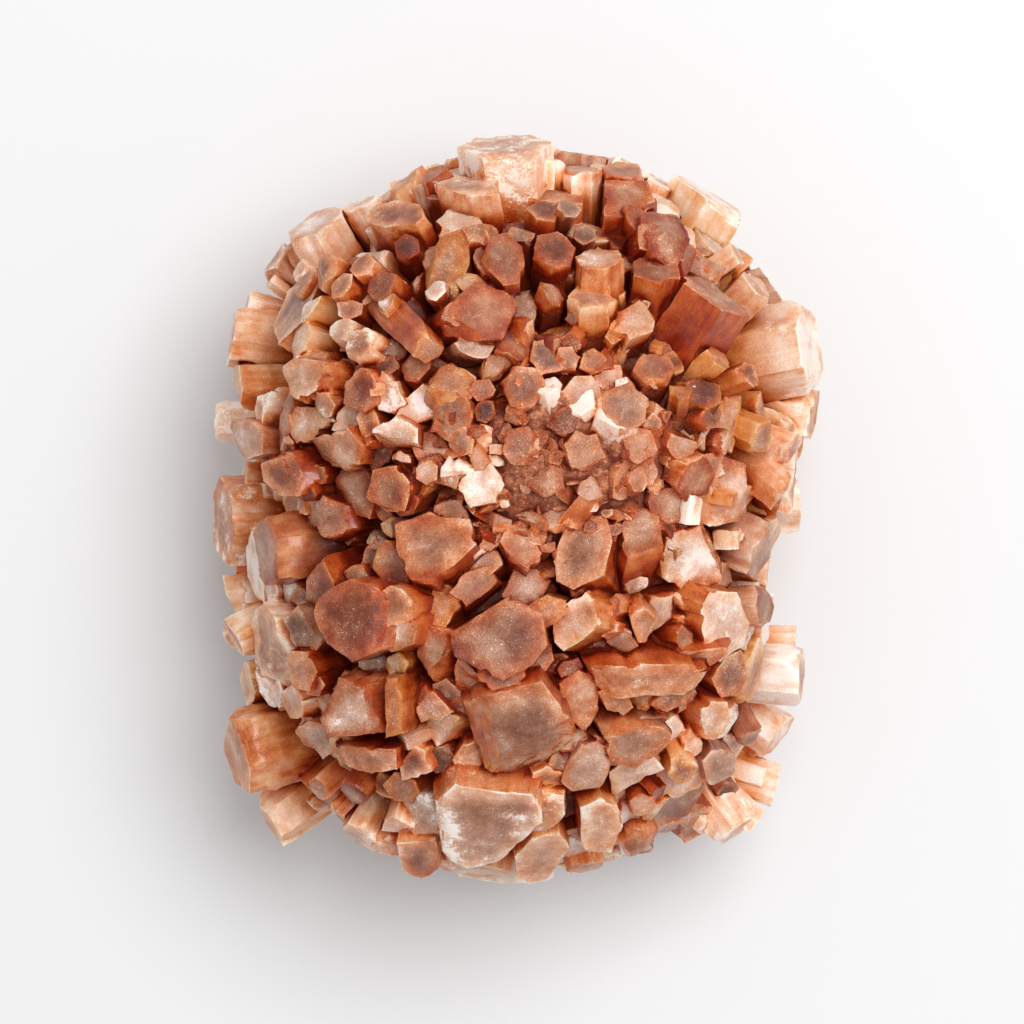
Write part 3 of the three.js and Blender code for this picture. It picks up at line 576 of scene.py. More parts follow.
def fill_gaps(share, count, overlap, sunk_range, seed, clear, open_places=()):
    """Plants crystals from the widest gap down, on the dome shrunk to that share."""
    places = spots(count, share)
    free = np.min([room(places, c) for c in crystals], axis=0)
    for c in parents:
        free[hides(places, c, clear)] = 0
    for x, y, wide, deep in open_places:
        shut = np.linalg.norm((places[:, :2] - [x, y]) / [wide, deep], axis=1) < 1
        free[shut & (places[:, 2] > HEART_HEIGHT)] = 0
    chance = np.random.default_rng(seed)
    before = len(crystals)
    while free.max() > LEAST_ROOM:
        best = int(free.argmax())
        spot = places[best]
        width = min(free[best] * 2 + overlap, WIDEST_FILL)
        way = bundle(spot, parents) + chance.normal(size=3) * WAY_WANDER
        way /= np.linalg.norm(way)
        tip = spot - way * chance.uniform(*sunk_range)
        made = tucked(crystal(local_tone(*spot[:2]), tip, way, width=width, uneven=UNEVEN))
        crystals.append(made)
        free = np.minimum(free, room(places, {**made, "tip": spot}))
        free[best] = 0
    print("crystals in the gaps:", len(crystals) - before, "of", len(places), "spots")


fill_gaps(0.98, 3600, 3.0, (0.3, 2.3), 21, CLEAR[0], CREVICES)

# %% Shorter ones deeper down
# What can still be seen between them is a second layer and a third, of crystals that were
# overtaken.
fill_gaps(0.91, 3600, 2.4, (-0.8, 0.8), 22, CLEAR[1])
fill_gaps(0.84, 3000, 2.4, (-0.8, 0.8), 23, CLEAR[2])

# %% The crowded hollow between the hearts
# Up here nothing had room to grow: short blocks lie every way, half buried in red dust.
HOLLOW = np.array([5.0, 5.5])
HOLLOW_SPREAD = np.array([7.5, 5.4])
BLOCKS = 190
NARROWEST, WIDEST = 1.2, 4.0
MOSTLY_NARROW = 1.8
BLOCK_LENGTHS = (0.8, 1.8)
BLOCK_WANDER = 0.6
BLOCK_TOPS = (-2.0, 0.1)
BLOCK_UNEVEN = 0.5
BLOCK_ROUGH = 0.16
block_dice = np.random.default_rng(7)
for _ in range(BLOCKS):
    x, y = HOLLOW + block_dice.normal(size=2) * HOLLOW_SPREAD
    block_width = NARROWEST + (WIDEST - NARROWEST) * block_dice.random() ** MOSTLY_NARROW
    block_length = block_width * block_dice.uniform(*BLOCK_LENGTHS)
    way = outwards(np.array([x, y, dome_height(x, y)])) + block_dice.normal(size=3) * BLOCK_WANDER
    way[2] = abs(way[2])
    way /= np.linalg.norm(way)
    top = dome_height(x, y) + block_dice.uniform(*BLOCK_TOPS)
    tip = np.array([x, y, top - block_width * HALF_BREADTH * (1 - way[2])])
    made = crystal(local_tone(x, y), tip, way, width=block_width, uneven=BLOCK_UNEVEN)
    crystals.append({**tucked(made), "long": block_length, "rough": BLOCK_ROUGH})
print("crystals in all:", len(crystals))

# %% [markdown]
# ## A prism with the marks of its growth
# A plain extruded hexagon looks like a pencil. A real aragonite prism is three crystals grown into
# one, so its sides are made of flat strips that stand a little in or out, each strip ends where
# growth paused, its end face is a little hilly, and its corners have been knocked off. All of that
# is made by moving the points of a fine mesh, almost always inwards, so a crystal never gets
# bigger to the eye.

# %% Soft noise
def grain(points, size, seed=0):
    """Random values from -1 to 1 on a lattice, blended smoothly between its corners."""
    place = np.asarray(points) / size
    cell = np.floor(place).astype(np.int64)
    part = place - cell
    part = part * part * (3 - 2 * part)
    total = np.zeros(len(place))
    for corner in itertools.product((0, 1), repeat=3):
        x, y, z = (cell + corner).T
        mixed = (x * 374761393 + y * 668265263 + z * 1274126177 + seed * 362437) & 0xFFFFFFFF
        mixed = ((mixed ^ (mixed >> 13)) * 1103515245) & 0xFFFFFFFF
        value = ((mixed ^ (mixed >> 16)) & 0xFFFF) / 32767.5 - 1
        total += value * np.prod(np.where(corner, part, 1 - part), axis=1)
    return total


def smooth(values, low, high):
    share = np.clip((values - low) / (high - low), 0, 1)
    return share * share * (3 - 2 * share)


# %% A walk round the outline
WEAR = 0.12


def walk_round(corners, spacing):
    """Points along the polygon, the way out at each, and how far round each one is."""
    ahead = np.roll(corners, -1, axis=0)
    points = []
    for start, end in zip(corners, ahead):
        count = max(2, round(np.linalg.norm(end - start) / spacing))
        points.extend(start + (end - start) * k / count for k in range(count))
    points = np.array(points)
    before, after = np.roll(points, 1, axis=0), np.roll(points, -1, axis=0)
    worn = points * (1 - WEAR) + (before + after) * WEAR / 2
    along = np.roll(worn, -1, axis=0) - np.roll(worn, 1, axis=0)
    out = np.column_stack([along[:, 1], -along[:, 0]])
    out /= np.linalg.norm(out, axis=1)[:, None]
    steps = np.linalg.norm(np.roll(worn, -1, axis=0) - worn, axis=1)
    return worn, out, np.concatenate([[0], steps.cumsum()[:-1]])


# %% How far in the sides are
# in millimetres: first how deep under the tip each ring of points lies, then the marks of growth,
# which are shallower on a crystal less than 7 wide
DEPTHS = np.array([0, 0.1, 0.35, 0.75, 1.2, 1.7, 2.3, 3.0, 3.8, 4.8, 6.2, 8.6, 12, 17])
STRIP_INSET = 0.2
STEP_STARTS = (0.6, 7)
STEP_INSET = 0.14
NOTCH_BITES = (0.2, 0.6)
NOTCH_WIDTH = 0.32
LEDGE_DEPTHS = (0.8, 6)
LEDGE_WAVES = (0.2, 0.7)
LEDGE = 0.16
SIDE_GRAIN = 0.06


def strips(chance, arc, fine):
    """For each point round the crystal, how far in its strip stands and where its step starts."""
    marks = np.sort(chance.uniform(0, arc[-1], chance.integers(2, 6)))
    inset = chance.uniform(0, STRIP_INSET, len(marks)) * fine
    starts = np.where(chance.random(len(marks)) < 0.5, chance.uniform(*STEP_STARTS, len(marks)), 0)
    number = np.searchsorted(marks, arc) % len(marks)
    return inset[number], starts[number]


def side_insets(chance, arc, fine, seed):
    """For each depth, how far the sides stand in from the plain hexagon, all the way round."""
    inset, starts = strips(chance, arc, fine)
    notches = [
        (chance.uniform(0, arc[-1]), chance.uniform(*NOTCH_BITES) * fine)
        for _ in range(chance.integers(1, 4))
    ]
    ledges = [
        (chance.uniform(*LEDGE_DEPTHS), chance.uniform(*LEDGE_WAVES))
        for _ in range(chance.integers(0, 3))
    ]
    round_it = np.column_stack([arc, arc * 0, arc * 0])
    rows = []
    for depth in DEPTHS:
        where = np.column_stack([arc, arc * 0 + depth * 0.16, arc * 0 + seed * 3.7])
        row = SIDE_GRAIN * fine * np.abs(grain(where, 1.3, 1))
        row = row + np.where(depth < starts, inset + STEP_INSET * fine, inset)
        for place, bite in notches:
            apart = np.minimum(abs(arc - place), arc[-1] - abs(arc - place))
            row = row + bite * (0.45 if depth == 0 else 1) * np.exp(-((apart / NOTCH_WIDTH) ** 2))
        for ledge, jitter in ledges:
            row = row + LEDGE * fine * (depth < ledge + jitter * grain(round_it, 1.6, seed))
        rows.append(row)
    return rows


# %% Chipped corners
# how many to a crystal, how steep, how deep, and how often and how much deeper a broken one goes
CHIPS = 3.6
CHIP_SLANT = (0.35, 1.2)
CHIP_BITE = (0.15, 0.8)
BROKEN = 0.2
BROKEN_BITE = 2.6


def chip(points, chance, fine, seed):
    """Cuts one corner or edge of the tip away along a rough slanting plane."""
    angle, slant = chance.uniform(0, 2 * math.pi), chance.uniform(*CHIP_SLANT)
    bite = chance.uniform(*CHIP_BITE) * fine * (BROKEN_BITE if chance.random() < BROKEN else 1)
    flat = math.cos(slant)
    way = np.array([math.cos(angle) * flat, math.sin(angle) * flat, math.sin(slant)])
    beyond = points @ way - (points @ way).max() + bite
    beyond += 0.14 * grain(points, 1.1, seed + 11) + 0.05 * grain(points, 0.4, seed + 12)
    return points - np.maximum(beyond, 0)[:, None] * way


# %% Rings of points down the sides and in over the tip
FULL_MARKS = 7
TIP_BEVEL = 0.12
TIP_TILT = 0.02
BIG_HILLS, SMALL_HILLS = 0.13, 0.05


def side_rings(outline, out, insets, long_share):
    """The outline again at each depth, as far in as the sides stand there."""
    rings = []
    for depth, inset in zip(DEPTHS * long_share, insets):
        share = 1 + (ROOT_SHARE - 1) * depth / LENGTH
        ring = outline * share - out * (inset + (TIP_BEVEL if depth == 0 else 0))[:, None]
        rings.append(np.column_stack([ring, np.full(len(ring), -depth)]))
    rings[0][:, 2] = -0.03
    return rings


def tip_rings(first, steps, tilt, fine, seed):
    """Ever smaller rings inside the first, with low hills, and the middle they close on."""
    centre = first.mean(axis=0)
    even = sum(np.roll(first, k, axis=0) for k in range(-2, 3)) / 5
    rings = []
    for k in range(1, steps):
        base = first + (even - first) * min(1, k / 2)
        flat = centre + (base - centre) * (1 - k / steps)
        with_seed = np.column_stack([flat, np.full(len(flat), seed)])
        hills = BIG_HILLS * fine * grain(with_seed, 2.6, 3)
        hills = hills + SMALL_HILLS * fine * grain(with_seed, 0.9, 4)
        rings.append(np.column_stack([flat, (hills - 0.1 + flat @ tilt) * min(1, k / 1.5)]))
    return [*rings, [[*centre, -0.1]]]


def ring_faces(count, rings):
    """Quads from the root up and in to the middle of the tip, and a lid on the root."""
    down = len(DEPTHS)
    order = [*range(down - 1, -1, -1), *range(down, rings)]
    ring_at = [np.arange(count) + count * row for row in order]
    faces = []
    for low, high in zip(ring_at, ring_at[1:]):
        faces += np.column_stack([low, np.roll(low, -1), np.roll(high, -1), high]).tolist()
    last = ring_at[-1]
    faces += np.column_stack([last, np.roll(last, -1), np.full(count, count * rings)]).tolist()
    return [*faces, ring_at[0][::-1].tolist()]


# %% One crystal's points and faces
GNAWED = 0.06
GNAW_SIZE = 0.8


def grown(c, spacing, seed):
    """The crystal as points and faces, with all the marks of its growth."""
    chance = np.random.default_rng(seed)
    outline, out, arc = walk_round(c["corners"], spacing)
    fine = min(1, c["width"] / FULL_MARKS)
    long_share = c.get("long", LENGTH) / LENGTH
    insets = side_insets(chance, arc, fine, seed)
    sides = side_rings(outline, out, insets, long_share)
    tilt = chance.normal(size=2) * TIP_TILT
    steps = max(2, round(c["width"] / 2 / spacing))
    lines = sides + tip_rings(sides[0][:, :2], steps, tilt, fine, seed)
    points = np.vstack(lines)
    near_tip = points[:, 2] > -LENGTH / 2 * long_share
    points[:, 2] += np.where(near_tip, points[:, :2] @ c["slope"], 0)
    for _ in range(chance.poisson(CHIPS)):
        points = chip(points, chance, fine, seed)
    shift = np.column_stack([grain(points, GNAW_SIZE, seed + k) for k in (21, 22, 23)])
    points = points + shift * c.get("rough", GNAWED)
    return c["tip"] + points @ c["own"], ring_faces(len(outline), len(lines) - 1)


# %% A piece from points and faces
def put(name, points, faces, owner=None):
    """A mesh object from points in plan, moved to where the solid stands, in metres."""
    mesh = bpy.data.meshes.new(name)
    mesh.from_pydata(((points - [middle[0], middle[1], 0]) * MM).tolist(), [], faces)
    if owner is not None:
        tag = mesh.attributes.new("owner", "INT", "FACE")
        tag.data.foreach_set("value", [owner] * len(mesh.polygons))
    item = bpy.data.objects.new(name, mesh)
    bpy.context.scene.collection.objects.link(item)
    return item


# %% The hearts
def ball(level):
    """A unit ball of even triangles."""
    made = bmesh.new()
    bmesh.ops.create_icosphere(made, subdivisions=level, radius=1)
    points = np.array([v.co[:] for v in made.verts])
    faces = [[v.index for v in f.verts] for f in made.faces]
    made.free()
    return points, faces


HEART_SHARE = 0.78
BALL_LEVEL = 6
heart_shapes = []
for heart, reach in zip(HEARTS, REACHES):
    directions, faces = ball(BALL_LEVEL)
    bumps = 1 + 0.018 * grain(directions, 0.13, 5) + 0.012 * grain(directions, 0.05, 6)
    points = directions * bumps[:, None] * reach * HEART_SHARE * [1, 1, FLATNESS]
    heart_shapes.append((points + [*heart, HEART_HEIGHT], faces))
print("points in a heart:", len(heart_shapes[0][0]))

# %% Join them
# One solid of every crystal would be too heavy a mesh for one piece, so the ball is made in layers
# from the top down. Each is closed, and they stand in each other as the crystals themselves do.
GROUND_CORNERS = np.array(list(itertools.product((-90, 90), (-90, 90), (-90, 0))), float)
GROUND_FACES = [[0, 1, 3, 2], [4, 6, 7, 5], [0, 4, 5, 1], [2, 3, 7, 6], [0, 2, 6, 4], [1, 5, 7, 3]]
ground = put("below", GROUND_CORNERS, GROUND_FACES)


def without_flaps(mesh):
    """Takes out the few flat faces that the join left lying double, one on the other."""
    mesh.validate()
    made = bmesh.new()
    made.from_mesh(mesh)
    alone = [face for face in made.faces if all(len(edge.link_faces) == 1 for edge in face.edges)]
    bmesh.ops.delete(made, geom=alone, context="FACES")
    open_edges = sum(len(edge.link_faces) != 2 for edge in made.edges)
    made.to_mesh(mesh)
    made.free()
    print("flaps taken out:", len(alone), "and edges left open:", open_edges)


def joined(name, shapes):
    """One closed mesh from many that overlap, cut off flat at the table."""
    group = bpy.data.collections.new(name)
    bpy.context.scene.collection.children.link(group)
    first, *rest = [put(f"{name}_{shape[2]}", *shape) for shape in shapes]
    for item in rest:
        bpy.context.scene.collection.objects.unlink(item)
        group.objects.link(item)
    join = first.modifiers.new("join", "BOOLEAN")
    join.operation, join.solver = "UNION", "MANIFOLD"
    join.operand_type, join.collection = "COLLECTION", group
    trim = first.modifiers.new("flat spot", "BOOLEAN")
    trim.operation, trim.solver, trim.object = "DIFFERENCE", "MANIFOLD", ground
    done = first.evaluated_get(bpy.context.evaluated_depsgraph_get())
    mesh = bpy.data.meshes.new_from_object(done)
    for item in [*rest, first]:
        bpy.data.objects.remove(item)
    bpy.data.collections.remove(group)
    without_flaps(mesh)
    made = bpy.data.objects.new(name, mesh)
    bpy.context.scene.collection.objects.link(made)
    triangles = sum(len(p.vertices) - 2 for p in mesh.polygons)
    print(name, "of", len(shapes), "shapes:", triangles, "triangles")
    return made


# %% The layers, from the top down
# each with the height that its tips lie over and the height that they lie under
LAYERS = [
    ("crown", 44.2, 99), ("collar", 39.5, 44.2), ("shoulder", 33, 39.5),
    ("waist", 25.5, 33), ("flank", 15, 25.5), ("skirt", -9, 15),
]
FINE_SPACING = 0.45
COARSE_SPACING = 0.75
FINE_ABOVE = 16
THIN = 3.4
THIN_SHARE = 0.8


def spacing_for(c):
    """How far apart a crystal's points are: finer on top and on the thin ones."""
    spacing = FINE_SPACING if c["tip"][2] > FINE_ABOVE else COARSE_SPACING
    return spacing if c["width"] > THIN else spacing * THIN_SHARE


pieces = []
for layer, low, high in LAYERS:
    inside = [(number, c) for number, c in enumerate(crystals) if low < c["tip"][2] <= high]
    shapes = [(*grown(c, spacing_for(c), number), number) for number, c in inside]
    if layer == "skirt":
        shapes += [(*shape, -1) for shape in heart_shapes]
    pieces.append(joined(layer, shapes))
bpy.data.objects.remove(ground)

# %% [markdown]
# ## The crust in the hollow
# Between the two hearts the clay never washed out: the stubs there stand in a rough red crust. It
# is a lens of stone, thick in the middle and diving under the crystals at its edge, with a grainy
# top.

# %% The crust
CRUST_REACH = np.array([15.5, 11.5])
CRUST_SPACING = 0.36
CRUST_DEPTH = 1.1
CRUST_DIVE = 4.5
CRUST_LUMPS = [(0.75, 2.1, 31), (0.4, 0.9, 32), (0.2, 0.45, 33)]  # height, size, seed


def crust_shape():
    """A round grid of points on top, the same grid below, and a wall between their rims."""
    counts = np.ceil(2 * CRUST_REACH / CRUST_SPACING).astype(int)
    x, y = np.meshgrid(*[np.linspace(-1, 1, n) for n in counts], indexing="ij")
    disc = [x * np.sqrt(1 - y**2 / 2), y * np.sqrt(1 - x**2 / 2)]
    flat = np.column_stack([side.ravel() for side in disc])
    plan = HOLLOW + flat * CRUST_REACH
    far = np.linalg.norm(flat, axis=1)
    dome = np.array([dome_height(*p) for p in plan])
    level = np.column_stack([plan, plan[:, 0] * 0])
    rough = sum(height * grain(level, size, seed) for height, size, seed in CRUST_LUMPS)
    top = dome - CRUST_DEPTH - CRUST_DIVE * smooth(far, 0.35, 1) + rough * (1 - smooth(far, 0.8, 1))
    low = np.column_stack([plan, dome - 9 + 2.5 * far])
    points = np.vstack([np.column_stack([plan, top]), low])
    number = np.arange(len(plan)).reshape(counts)
    square = [number[:-1, :-1], number[1:, :-1], number[1:, 1:], number[:-1, 1:]]
    quads = np.stack(square, -1).reshape(-1, 4)
    faces = quads.tolist() + (quads[:, ::-1] + len(plan)).tolist()
    rim = [*number[0, :-1], *number[:-1, -1], *number[-1, :0:-1], *number[:0:-1, 0]]
    faces += [[a, b, b + len(plan), a + len(plan)] for a, b in zip(rim, rim[1:] + rim[:1])]
    return points, faces


crust = put("crust", *crust_shape())
print("crust:", len(crust.data.polygons), "faces")

# %% [markdown]
# ## What each point knows
# The colours follow the crystal, not the room: how far a point is below its own tip, how near the
# rim of the end face, whether it is on that face at all, and how sheltered it is. Each of these is
# worked out once and kept on the mesh, so the material can read it.

# %% Read and write a mesh
def read(items, name, per=1):
    values = np.empty(len(items) * per, np.float64 if per > 1 else int)
    items.foreach_get(name, values)
    return values.reshape(-1, per) if per > 1 else values


def keep(mesh, name, kind, domain, values):
    made = mesh.attributes.new(name, kind, domain)
    field = {"FLOAT": "value", "FLOAT_VECTOR": "vector", "FLOAT_COLOR": "color"}[kind]
    made.data.foreach_set(field, np.asarray(values, np.float32).ravel())


def colour(code):
    """A colour as light, from the six signs of its paint code."""
    parts = np.array([int(code[k : k + 2], 16) / 255 for k in (0, 2, 4)])
    return np.where(parts <= 0.04045, parts / 12.92, ((parts + 0.055) / 1.055) ** 2.4)


# %% A tone for each crystal
TONES = {
    # how pale: end face, side near the tip, side near the root
    # then how amber, how smoky and how frosted
    "umber": (0.43, 0.47, 0.22, 0.30, 0.40, 0.15),
    "rose": (0.54, 0.54, 0.30, 0.20, 0.25, 0.35),
    "frost": (0.72, 0.66, 0.42, 0.20, 0.35, 0.80),
    "amber": (0.54, 0.60, 0.36, 0.70, 0.10, 0.20),
    "rust": (0.46, 0.42, 0.20, 0.30, 0.10, 0.15),
    "peach": (0.66, 0.64, 0.42, 0.45, 0.10, 0.35),
    "cream": (0.76, 0.74, 0.54, 0.30, 0.30, 0.50),
    "smoke": (0.54, 0.54, 0.36, 0.10, 0.90, 0.25),
    "ice": (0.76, 0.75, 0.58, 0.10, 0.70, 0.50),
    "honey": (0.66, 0.66, 0.44, 0.75, 0.05, 0.30),
    "chalk": (0.90, 0.84, 0.64, 0.10, 0.00, 1.00),
    "dusty": (0.56, 0.50, 0.28, 0.10, 0.15, 0.30),
}
TRAITS = ("end_level", "side_level", "root_level", "amber", "smoke", "frost")
TRAIT_JITTER = (0.08, 0.08, 0.06, 0.18, 0.18, 0.14)
trait_dice = np.random.default_rng(11)
tone_rows = np.array([TONES[c["tone"]] for c in crystals] + [TONES["rust"]])
traits = tone_rows + trait_dice.normal(size=tone_rows.shape) * TRAIT_JITTER
print("tones:", len(TONES), "and traits of each:", len(TRAITS))

# %% Paler at the rim, darker between the big ones: partly painted light and shade
# The leaning crystals at the rim are paler: partly clean tips, partly painted light on their
# outward faces. The thin ones that stand upright are painted darker, as shade between the big
# ones. The hearts come last in each row of values.
RIM_CLEAN_AND_LIT = np.array([0.14, 0.19, 0.18, 0.06, 0, 0.1])
SMALL_WIDTH = (2.5, 5.0)
SMALL_SHADE = np.array([0.10, 0.08, 0.04, 0, 0, 0.1])
leaning = smooth(np.array([1 - abs(c["own"][2][2]) for c in crystals] + [0]), 0.35, 0.85)
# partly clean tips, partly painted light on the outward faces of the leaning crystals
traits = traits + leaning[:, None] * RIM_CLEAN_AND_LIT
small = 1 - smooth(np.array([c["width"] for c in crystals] + [0]), *SMALL_WIDTH)
chalky = np.array([c["tone"] in ("chalk", "ice") for c in crystals] + [True])
# painted shade on the thin upright crystals
traits = np.clip(traits - (small * (1 - leaning) * ~chalky)[:, None] * SMALL_SHADE, 0, 1)


# %% Where each corner is on its crystal
# A crystal gets its root's colour this far below its tip: LONG_FADE more where it leans over.
SHORT_FADE = 4.2
LONG_FADE = 6.0
MIDDLE_SHARE, WIDEST_EDGE = 0.36, 3
OWN_SHIFT = np.array([7.3, 3.1, 5.7])


def learn(piece):
    """Keeps on the mesh what its own crystals tell it."""
    mesh = piece.data
    places = read(mesh.vertices, "co", 3) / MM + [middle[0], middle[1], 0]
    corner_point = read(mesh.loops, "vertex_index")
    face_sizes = read(mesh.polygons, "loop_total")
    normals = read(mesh.polygons, "normal", 3)
    owner = read(mesh.attributes["owner"].data, "value")
    corner_owner = np.repeat(owner, face_sizes)
    own_place = places[corner_point].copy()
    rim = np.full(len(corner_point), 3.0)
    inner = np.ones(len(corner_point))
    fade = np.ones(len(corner_point))
    on_end = np.zeros(len(owner))
    by_owner = np.argsort(corner_owner, kind="stable")
    bounds = np.searchsorted(corner_owner[by_owner], np.arange(len(crystals) + 1))
    for number, c in enumerate(crystals):
        mine = by_owner[bounds[number] : bounds[number + 1]]
        if not len(mine):
            continue
        own = (places[corner_point[mine]] - c["tip"]) @ c["own"].T
        along = own[:, :2] @ c["slope"] - own[:, 2]
        lean = 1 - c["own"][2][2] if places[corner_point[mine[0]]][2] > HEART_HEIGHT else 1
        fade[mine] = np.clip(along / (SHORT_FADE + LONG_FADE * smooth(lean, 0.25, 0.8)), 0, 1)
        ahead = np.roll(c["corners"], -1, axis=0) - c["corners"]
        ahead /= np.linalg.norm(ahead, axis=1)[:, None]
        inward = np.column_stack([-ahead[:, 1], ahead[:, 0]])
        rim[mine] = ((own[:, None, :2] - c["corners"]) * inward).sum(axis=2).min(axis=1)
        inner[mine] = np.clip(rim[mine] / min(c["width"] * MIDDLE_SHARE, WIDEST_EDGE), 0, 1)
        own_place[mine] = np.column_stack([own[:, :2], along]) + OWN_SHIFT * number
        faces_mine = owner == number
        on_end[faces_mine] = smooth(normals[faces_mine] @ c["own"][2], 0.6, 0.85)
    for name, values in zip(TRAITS, traits[owner].T):
        keep(mesh, name, "FLOAT", "FACE", values)
    keep(mesh, "on_end", "FLOAT", "FACE", on_end)
    for name, values in (("rim", rim), ("inner", inner), ("fade", fade)):
        keep(mesh, name, "FLOAT", "CORNER", values)
    keep(mesh, "own_place", "FLOAT_VECTOR", "CORNER", own_place)


for piece in pieces:
    learn(piece)
print("each layer knows:", [attribute.name for attribute in pieces[0].data.attributes])

# %% How sheltered each point is
# From every point but the lowest a few lines are sent out: the more of them that hit something
# near, the more enclosed the point is. There the materials paint shade, and the stone gathers
# more dust.
LINES = 8
LINE_REACH = 6.0
LIFT_OFF = 0.08
OUTWARD_SHARE = 1.05
SEEN_ABOVE = 6
HOLLOW_DUST = 1.9


def shelter(tree, places, ways):
    line_dice = np.random.default_rng(3)
    spread = line_dice.normal(size=(LINES, 3))
    spread /= np.linalg.norm(spread, axis=1)[:, None]
    shade_and_dust = np.zeros(len(places))
    for k, (place, way) in enumerate(zip(places, ways)):
        start = Vector(place + way * LIFT_OFF)
        for line in spread:
            reach = tree.ray_cast(start, Vector(line + way * OUTWARD_SHARE), LINE_REACH)[3]
            if reach is not None:
                shade_and_dust[k] += 1 - reach / LINE_REACH
    return shade_and_dust / LINES


stone_points, stone_faces = [], []
for piece in [*pieces, crust]:
    start = sum(len(p) for p in stone_points)
    stone_points.append(read(piece.data.vertices, "co", 3) / MM)
    stone_faces += [tuple(i + start for i in p.vertices) for p in piece.data.polygons]
stone_tree = BVHTree.FromPolygons(np.vstack(stone_points).tolist(), stone_faces)
for piece, places in zip([*pieces, crust], stone_points):
    ways = read(piece.data.vertices, "normal", 3)
    shade_and_dust = np.zeros(len(places))
    seen = places[:, 2] > SEEN_ABOVE
    shade_and_dust[seen] = shelter(stone_tree, places[seen], ways[seen])
    keep(piece.data, "shelter", "FLOAT", "POINT", shade_and_dust)
    x, y = ((places[:, :2] + middle[:2] - HOLLOW) / (HOLLOW_SPREAD * HOLLOW_DUST)).T
    dusty = np.exp(-(x**2 + y**2)) * smooth(places[:, 2], 30, 38)
    keep(piece.data, "dusty", "FLOAT", "POINT", dusty)
    print(piece.name, "is sheltered on average:", shade_and_dust.mean().round(2))

# %% [markdown]
# ## Shader maths as sums
# A material is a graph of small nodes. Written as plain sums it is easier to follow, so one class
# wraps a socket and adds the Math node for each operator.

# %% A socket that can be added and multiplied
class Wire:
    """One output of a node, that knows how to join itself to others by + - and *."""

    def __init__(self, board, socket):
        self.board, self.socket = board, socket

    def _with(self, operation, first, second):
        return self.board.add("ShaderNodeMath", {"operation": operation}, {0: first, 1: second})

    def __add__(self, other):
        return self._with("ADD", self, other)

    def __sub__(self, other):
        return self._with("SUBTRACT", self, other)

    def __rsub__(self, other):
        return self._with("SUBTRACT", other, self)

    def __mul__(self, other):
        return self._with("MULTIPLY", self, other)

    __radd__ = __add__
    __rmul__ = __mul__


class Board:
    """The node board of one material."""

    def __init__(self, name):
        self.material = bpy.data.materials.new(name)
        self.material.use_nodes = True
        self.tree = self.material.node_tree
        self.surface = self.tree.nodes["Principled BSDF"]

    def add(self, kind, settings=None, sockets=None, output=0):
        node = self.tree.nodes.new(kind)
        for name, setting in (settings or {}).items():
            setattr(node, name, setting)
        self.join(node, sockets or {})
        return Wire(self, node.outputs[output])

    def join(self, node, sockets):
        for name, value in sockets.items():
            if isinstance(value, Wire):
                self.tree.links.new(value.socket, node.inputs[name])
            else:
                node.inputs[name].default_value = value

    def known(self, name, output="Fac"):
        return self.add("ShaderNodeAttribute", {"attribute_name": name}, output=output)

    def cloud(self, where, size, detail=4, rough=0.6):
        """Soft noise from -0.5 to 0.5, with lumps of about that size in millimetres."""
        sockets = {"Vector": where, "Scale": 1 / size, "Detail": detail, "Roughness": rough}
        return self.add("ShaderNodeTexNoise", None, sockets) - 0.5

    def blend(self, share, first, second, way="MIX"):
        settings = {"data_type": "RGBA", "blend_type": way}
        return self.add("ShaderNodeMix", settings, {0: share, 6: first, 7: second}, output=2)

    def ease(self, value, low, high, start=0, end=1):
        """From start to end, softly, as the value goes from low to high."""
        names = ("Value", "From Min", "From Max", "To Min", "To Max")
        sockets = dict(zip(names, (value, low, high, start, end)))
        return self.add("ShaderNodeMapRange", {"interpolation_type": "SMOOTHSTEP"}, sockets)

    def stretch(self, vector, scale):
        return self.add("ShaderNodeVectorMath", {"operation": "MULTIPLY"}, {0: vector, 1: scale})

    def ramp(self, level, codes):
        """A run of colours, from the darkest to the palest."""
        wire = self.add("ShaderNodeValToRGB", None, {"Fac": level})
        stops = wire.socket.node.color_ramp.elements
        for stop in STOPS[1:-1]:
            stops.new(stop)
        for element, code in zip(stops, codes):
            element.color = (*colour(code), 1)
        return wire

    def all(self):
        return Wire(self, self.surface.outputs[0])

    def finish(self, shader):
        self.tree.links.new(shader.socket, self.tree.nodes["Material Output"].inputs["Surface"])


# %% Aragonite's colours, each from dark to pale
IRON = ["4a1408", "60220f", "83391c", "a05c3a", "b87854", "cd9471", "deb198", "eecfb9", "faeadd"]
FIRE = ["460f04", "661709", "8c2c12", "aa481c", "c26836", "d78d5e", "e6b492", "f0d3bb", "faeadc"]
HONEY = ["4c1606", "66240a", "964414", "bc682c", "d28646", "e0a26e", "eac09c", "f2d8c2", "faebdf"]
SMOKE = ["3c1a10", "573020", "754a38", "91634c", "aa7c64", "c19781", "d8b4a0", "ead0c2", "faefe8"]
STOPS = [0, 0.12, 0.28, 0.42, 0.55, 0.68, 0.82, 0.92, 1]
# the dark red of painted shade in the deepest crevices
SHADE_RED = (*colour("7a2a14"), 1)
GLOW = (3.4, 1.2, 0.45)
print("runs of colour:", len([IRON, FIRE, HONEY, SMOKE]), "with", len(STOPS), "stops each")

